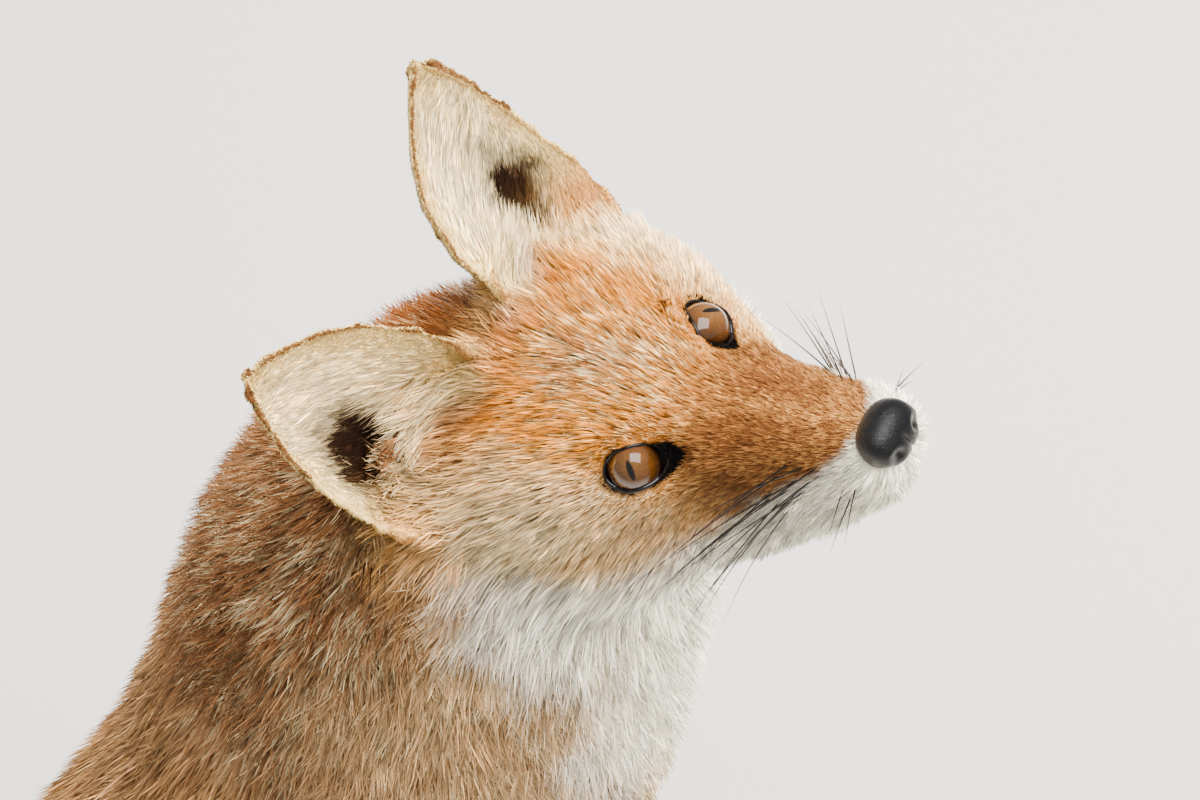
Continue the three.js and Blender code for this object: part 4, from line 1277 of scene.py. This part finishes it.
def facingOut(piece):  # all faces turned outward, on a closed shape
    work = bmesh.new()
    work.from_mesh(piece.data)
    bmesh.ops.recalc_face_normals(work, faces=work.faces)
    work.to_mesh(piece.data)
    work.free()


# nose
nosePlan = {
    "centre": (82.4, 0, -12.8),
    "size": (7.1, 10.6, 8.1),
    "square": 2.5,  # 2 is an egg shape, more is boxier
    "nostril": (87.0, 5.6, -15.0),
    "nostrilSize": 2.1,
    "nostrilDepth": 3.2,
    "slitEnd": (82.5, 10.2, -17.8),
}


def makeNose():
    paint, tree, shader = newMaterial("nose leather", 0.42, 0.45, coat=0.25, coatRoughness=0.3)
    pebbles = pattern(tree, "ShaderNodeTexVoronoi", Scale=1150.0, feature="DISTANCE_TO_EDGE")
    streaked(tree, shader, "noseTone", pebbles, 0.6, 1.5, 0.00035, 0.7)
    fromPole, turn, faces = ballGrid(64, 96)
    way = np.stack([np.cos(fromPole), np.sin(fromPole) * np.cos(turn), np.sin(fromPole) * np.sin(turn)], 1)
    power = nosePlan["square"]
    reach = (np.abs(way / nosePlan["size"]) ** power).sum(1) ** (-1 / power)
    local = way * reach[:, None]
    local[:, 1] *= 1 - 0.20 * smoothStep(-1, -9, local[:, 2])
    local[:, 0] -= 0.08 * np.maximum(local[:, 2], 0) ** 1.4
    points = local + nosePlan["centre"]
    hole = np.linalg.norm(leftward(points) - nosePlan["nostril"], axis=1)
    slit = toSegment(leftward(points), nosePlan["nostril"], nosePlan["slitEnd"])
    middleLine = hill(points[:, 1], 0.7) * smoothStep(-9, -15, points[:, 2])
    middleLine *= smoothStep(78, 84, points[:, 0])
    sink = nosePlan["nostrilDepth"] * hill(hole, nosePlan["nostrilSize"]) + 1.5 * hill(slit, 1.0) \
        + 0.8 * middleLine - 0.25 * hill(hole - 3.6, 1.1)
    points = points - way * sink[:, None]
    # painted shade: the sunken nostrils, their slits and the middle groove are darker than the leather
    tint = mix(np.tile(tone(22, 21, 25), (len(points), 1)), tone(6, 5, 6),
               np.clip(hill(hole, 2.6) + hill(slit, 1.2) + middleLine, 0, 1))
    piece = meshPiece("nose_leather_form", fromHead(points), faces)
    facingOut(piece)
    paintPoints(piece, "noseTone", tint)
    piece.data.materials.append(paint)
    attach(piece, "root")
    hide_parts("nose")


makeEyes()
makeLidRims()
makeNose()
print("eyes, lid edges and nose are in")

# whiskers: paths in the head's frame, made round by Geometry Nodes
whiskerPlan = {"thick": 0.33, "sides": 5, "steps": 12}
whiskerRows = [  # from (along, height) on the side of the face, way, length, fall of the tip, how many
    ((66, 46), (-9, -13), (-0.74, 0.58, 0.02), 62, 10, 4),
    ((63, 42), (-13, -18), (-0.80, 0.52, -0.14), 80, 13, 6),
    ((60, 44), (-17, -22), (-0.78, 0.46, -0.30), 70, 14, 5),
    ((76, 70), (-16, -20), (-0.20, 0.85, -0.35), 20, 3, 3),
    ((4, -4), (9, 12), (-0.40, 0.50, 0.80), 44, 5, 2),
    ((-22, -28), (-22, -26), (-0.75, 0.6, -0.35), 34, 6, 2),
]


def whiskerPaths():
    rng = np.random.default_rng(7)
    paths = []
    for (xFrom, xTo), (zFrom, zTo), way, length, fall, number in whiskerRows:
        for side in (1, -1):
            for k in range(number):
                share = (k + 0.5) / number
                start = np.array((xFrom + (xTo - xFrom) * share, 70.0 * side, zFrom + (zTo - zFrom) * share))
                start += rng.normal(size=3) * (1.5, 0, 1.2)
                hit = skinTree.ray_cast(fromHead(start).tolist(), (-side * headLeft).tolist())[0]
                if hit is None:
                    continue
                root = toHead(np.array(hit))
                aim = unit(np.array(way) * (1, side, 1) + rng.normal(size=3) * 0.09)
                reach = length * rng.uniform(0.7, 1.1)
                t = np.linspace(0, 1, whiskerPlan["steps"])[:, None]
                bend = np.array((-0.35, -0.25 * side, -1.0)) * fall * rng.uniform(0.6, 1.3)
                paths.append(root - aim + aim * reach * t + bend * t ** 2)
    return paths


def whiskerTree(paint):
    tree = bpy.data.node_groups.new("whiskers", "GeometryNodeTree")
    tree.interface.new_socket("Geometry", in_out="INPUT", socket_type="NodeSocketGeometry")
    thick = tree.interface.new_socket("Thickness", in_out="INPUT", socket_type="NodeSocketFloat")
    sides = tree.interface.new_socket("Sides", in_out="INPUT", socket_type="NodeSocketInt")
    tree.interface.new_socket("Geometry", in_out="OUTPUT", socket_type="NodeSocketGeometry")
    start, end = tree.nodes.new("NodeGroupInput"), tree.nodes.new("NodeGroupOutput")
    paths = tree.nodes.new("GeometryNodeMeshToCurve")
    taper = tree.nodes.new("GeometryNodeInputNamedAttribute")
    taper.data_type = "FLOAT"
    taper.inputs["Name"].default_value = "taper"
    radius = tree.nodes.new("ShaderNodeMath")
    radius.operation = "MULTIPLY"
    setRadius = tree.nodes.new("GeometryNodeSetCurveRadius")
    ring = tree.nodes.new("GeometryNodeCurvePrimitiveCircle")
    ring.inputs["Radius"].default_value = 1.0
    body = tree.nodes.new("GeometryNodeCurveToMesh")
    body.inputs["Fill Caps"].default_value = True
    rounded = tree.nodes.new("GeometryNodeSetShadeSmooth")
    real = tree.nodes.new("GeometryNodeRealizeInstances")
    finish = tree.nodes.new("GeometryNodeSetMaterial")
    finish.inputs["Material"].default_value = paint
    join = tree.links.new
    join(start.outputs["Geometry"], paths.inputs["Mesh"])
    join(taper.outputs["Attribute"], radius.inputs[0])
    join(start.outputs["Thickness"], radius.inputs[1])
    join(paths.outputs["Curve"], setRadius.inputs["Curve"])
    join(radius.outputs[0], setRadius.inputs["Radius"])
    join(start.outputs["Sides"], ring.inputs["Resolution"])
    join(setRadius.outputs["Curve"], body.inputs["Curve"])
    join(ring.outputs["Curve"], body.inputs["Profile Curve"])
    if "Scale" in body.inputs:
        join(radius.outputs[0], body.inputs["Scale"])
    join(body.outputs["Mesh"], rounded.inputs["Geometry"])
    join(rounded.outputs["Geometry"], real.inputs["Geometry"])
    join(real.outputs["Geometry"], finish.inputs["Geometry"])
    join(finish.outputs["Geometry"], end.inputs["Geometry"])
    return tree, thick.identifier, sides.identifier


def makeWhiskers():
    paint, tree, shader = newMaterial("whisker", 0.35, 0.4)
    grain = pattern(tree, "ShaderNodeTexNoise", Scale=700.0, Detail=2.0)
    twoToned(tree, shader, grain, tones["black"] * 0.7, tones["soot"])
    paths = whiskerPaths()
    steps = whiskerPlan["steps"]
    mesh = bpy.data.meshes.new("whisker paths")
    points = fromHead(np.concatenate(paths))
    edges = [(k * steps + s, k * steps + s + 1) for k in range(len(paths)) for s in range(steps - 1)]
    mesh.from_pydata(points.tolist(), edges, [])
    layer = mesh.attributes.new("taper", "FLOAT", "POINT")
    taper = np.tile(1 - 0.85 * np.linspace(0, 1, steps), len(paths))
    layer.data.foreach_set("value", taper.astype(np.float32))
    holder = bpy.data.objects.new("whisker paths", mesh)
    bpy.context.scene.collection.objects.link(holder)
    group, thickKey, sidesKey = whiskerTree(paint)
    modifier = holder.modifiers.new("whiskers", "NODES")
    modifier.node_group = group
    modifier[thickKey] = whiskerPlan["thick"] * mm
    modifier[sidesKey] = whiskerPlan["sides"]
    graph = bpy.context.evaluated_depsgraph_get()
    made = bpy.data.meshes.new_from_object(holder.evaluated_get(graph))
    holder.modifiers.remove(modifier)
    bpy.data.objects.remove(holder)
    piece = bpy.data.objects.new("whiskers", made)
    bpy.context.scene.collection.objects.link(piece)
    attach(piece, "root")
    print("whiskers:", len(paths), "of", len(made.polygons), "faces")


makeWhiskers()


# claws keep their solids and get a horn finish
def finishClaws():
    paint, tree, shader = newMaterial("claw horn", 0.35, 0.5)
    grain = pattern(tree, "ShaderNodeTexNoise", Scale=420.0, Detail=4.0)
    twoToned(tree, shader, grain, tone(34, 27, 23), tone(96, 80, 66))
    bumped(tree, shader, grain, 0.0002, 0.3)
    for name, node in nodes.items():
        if name.startswith("claw_"):
            for k in range(len(node.material_slots)):
                node.material_slots[k].material = paint


finishClaws()
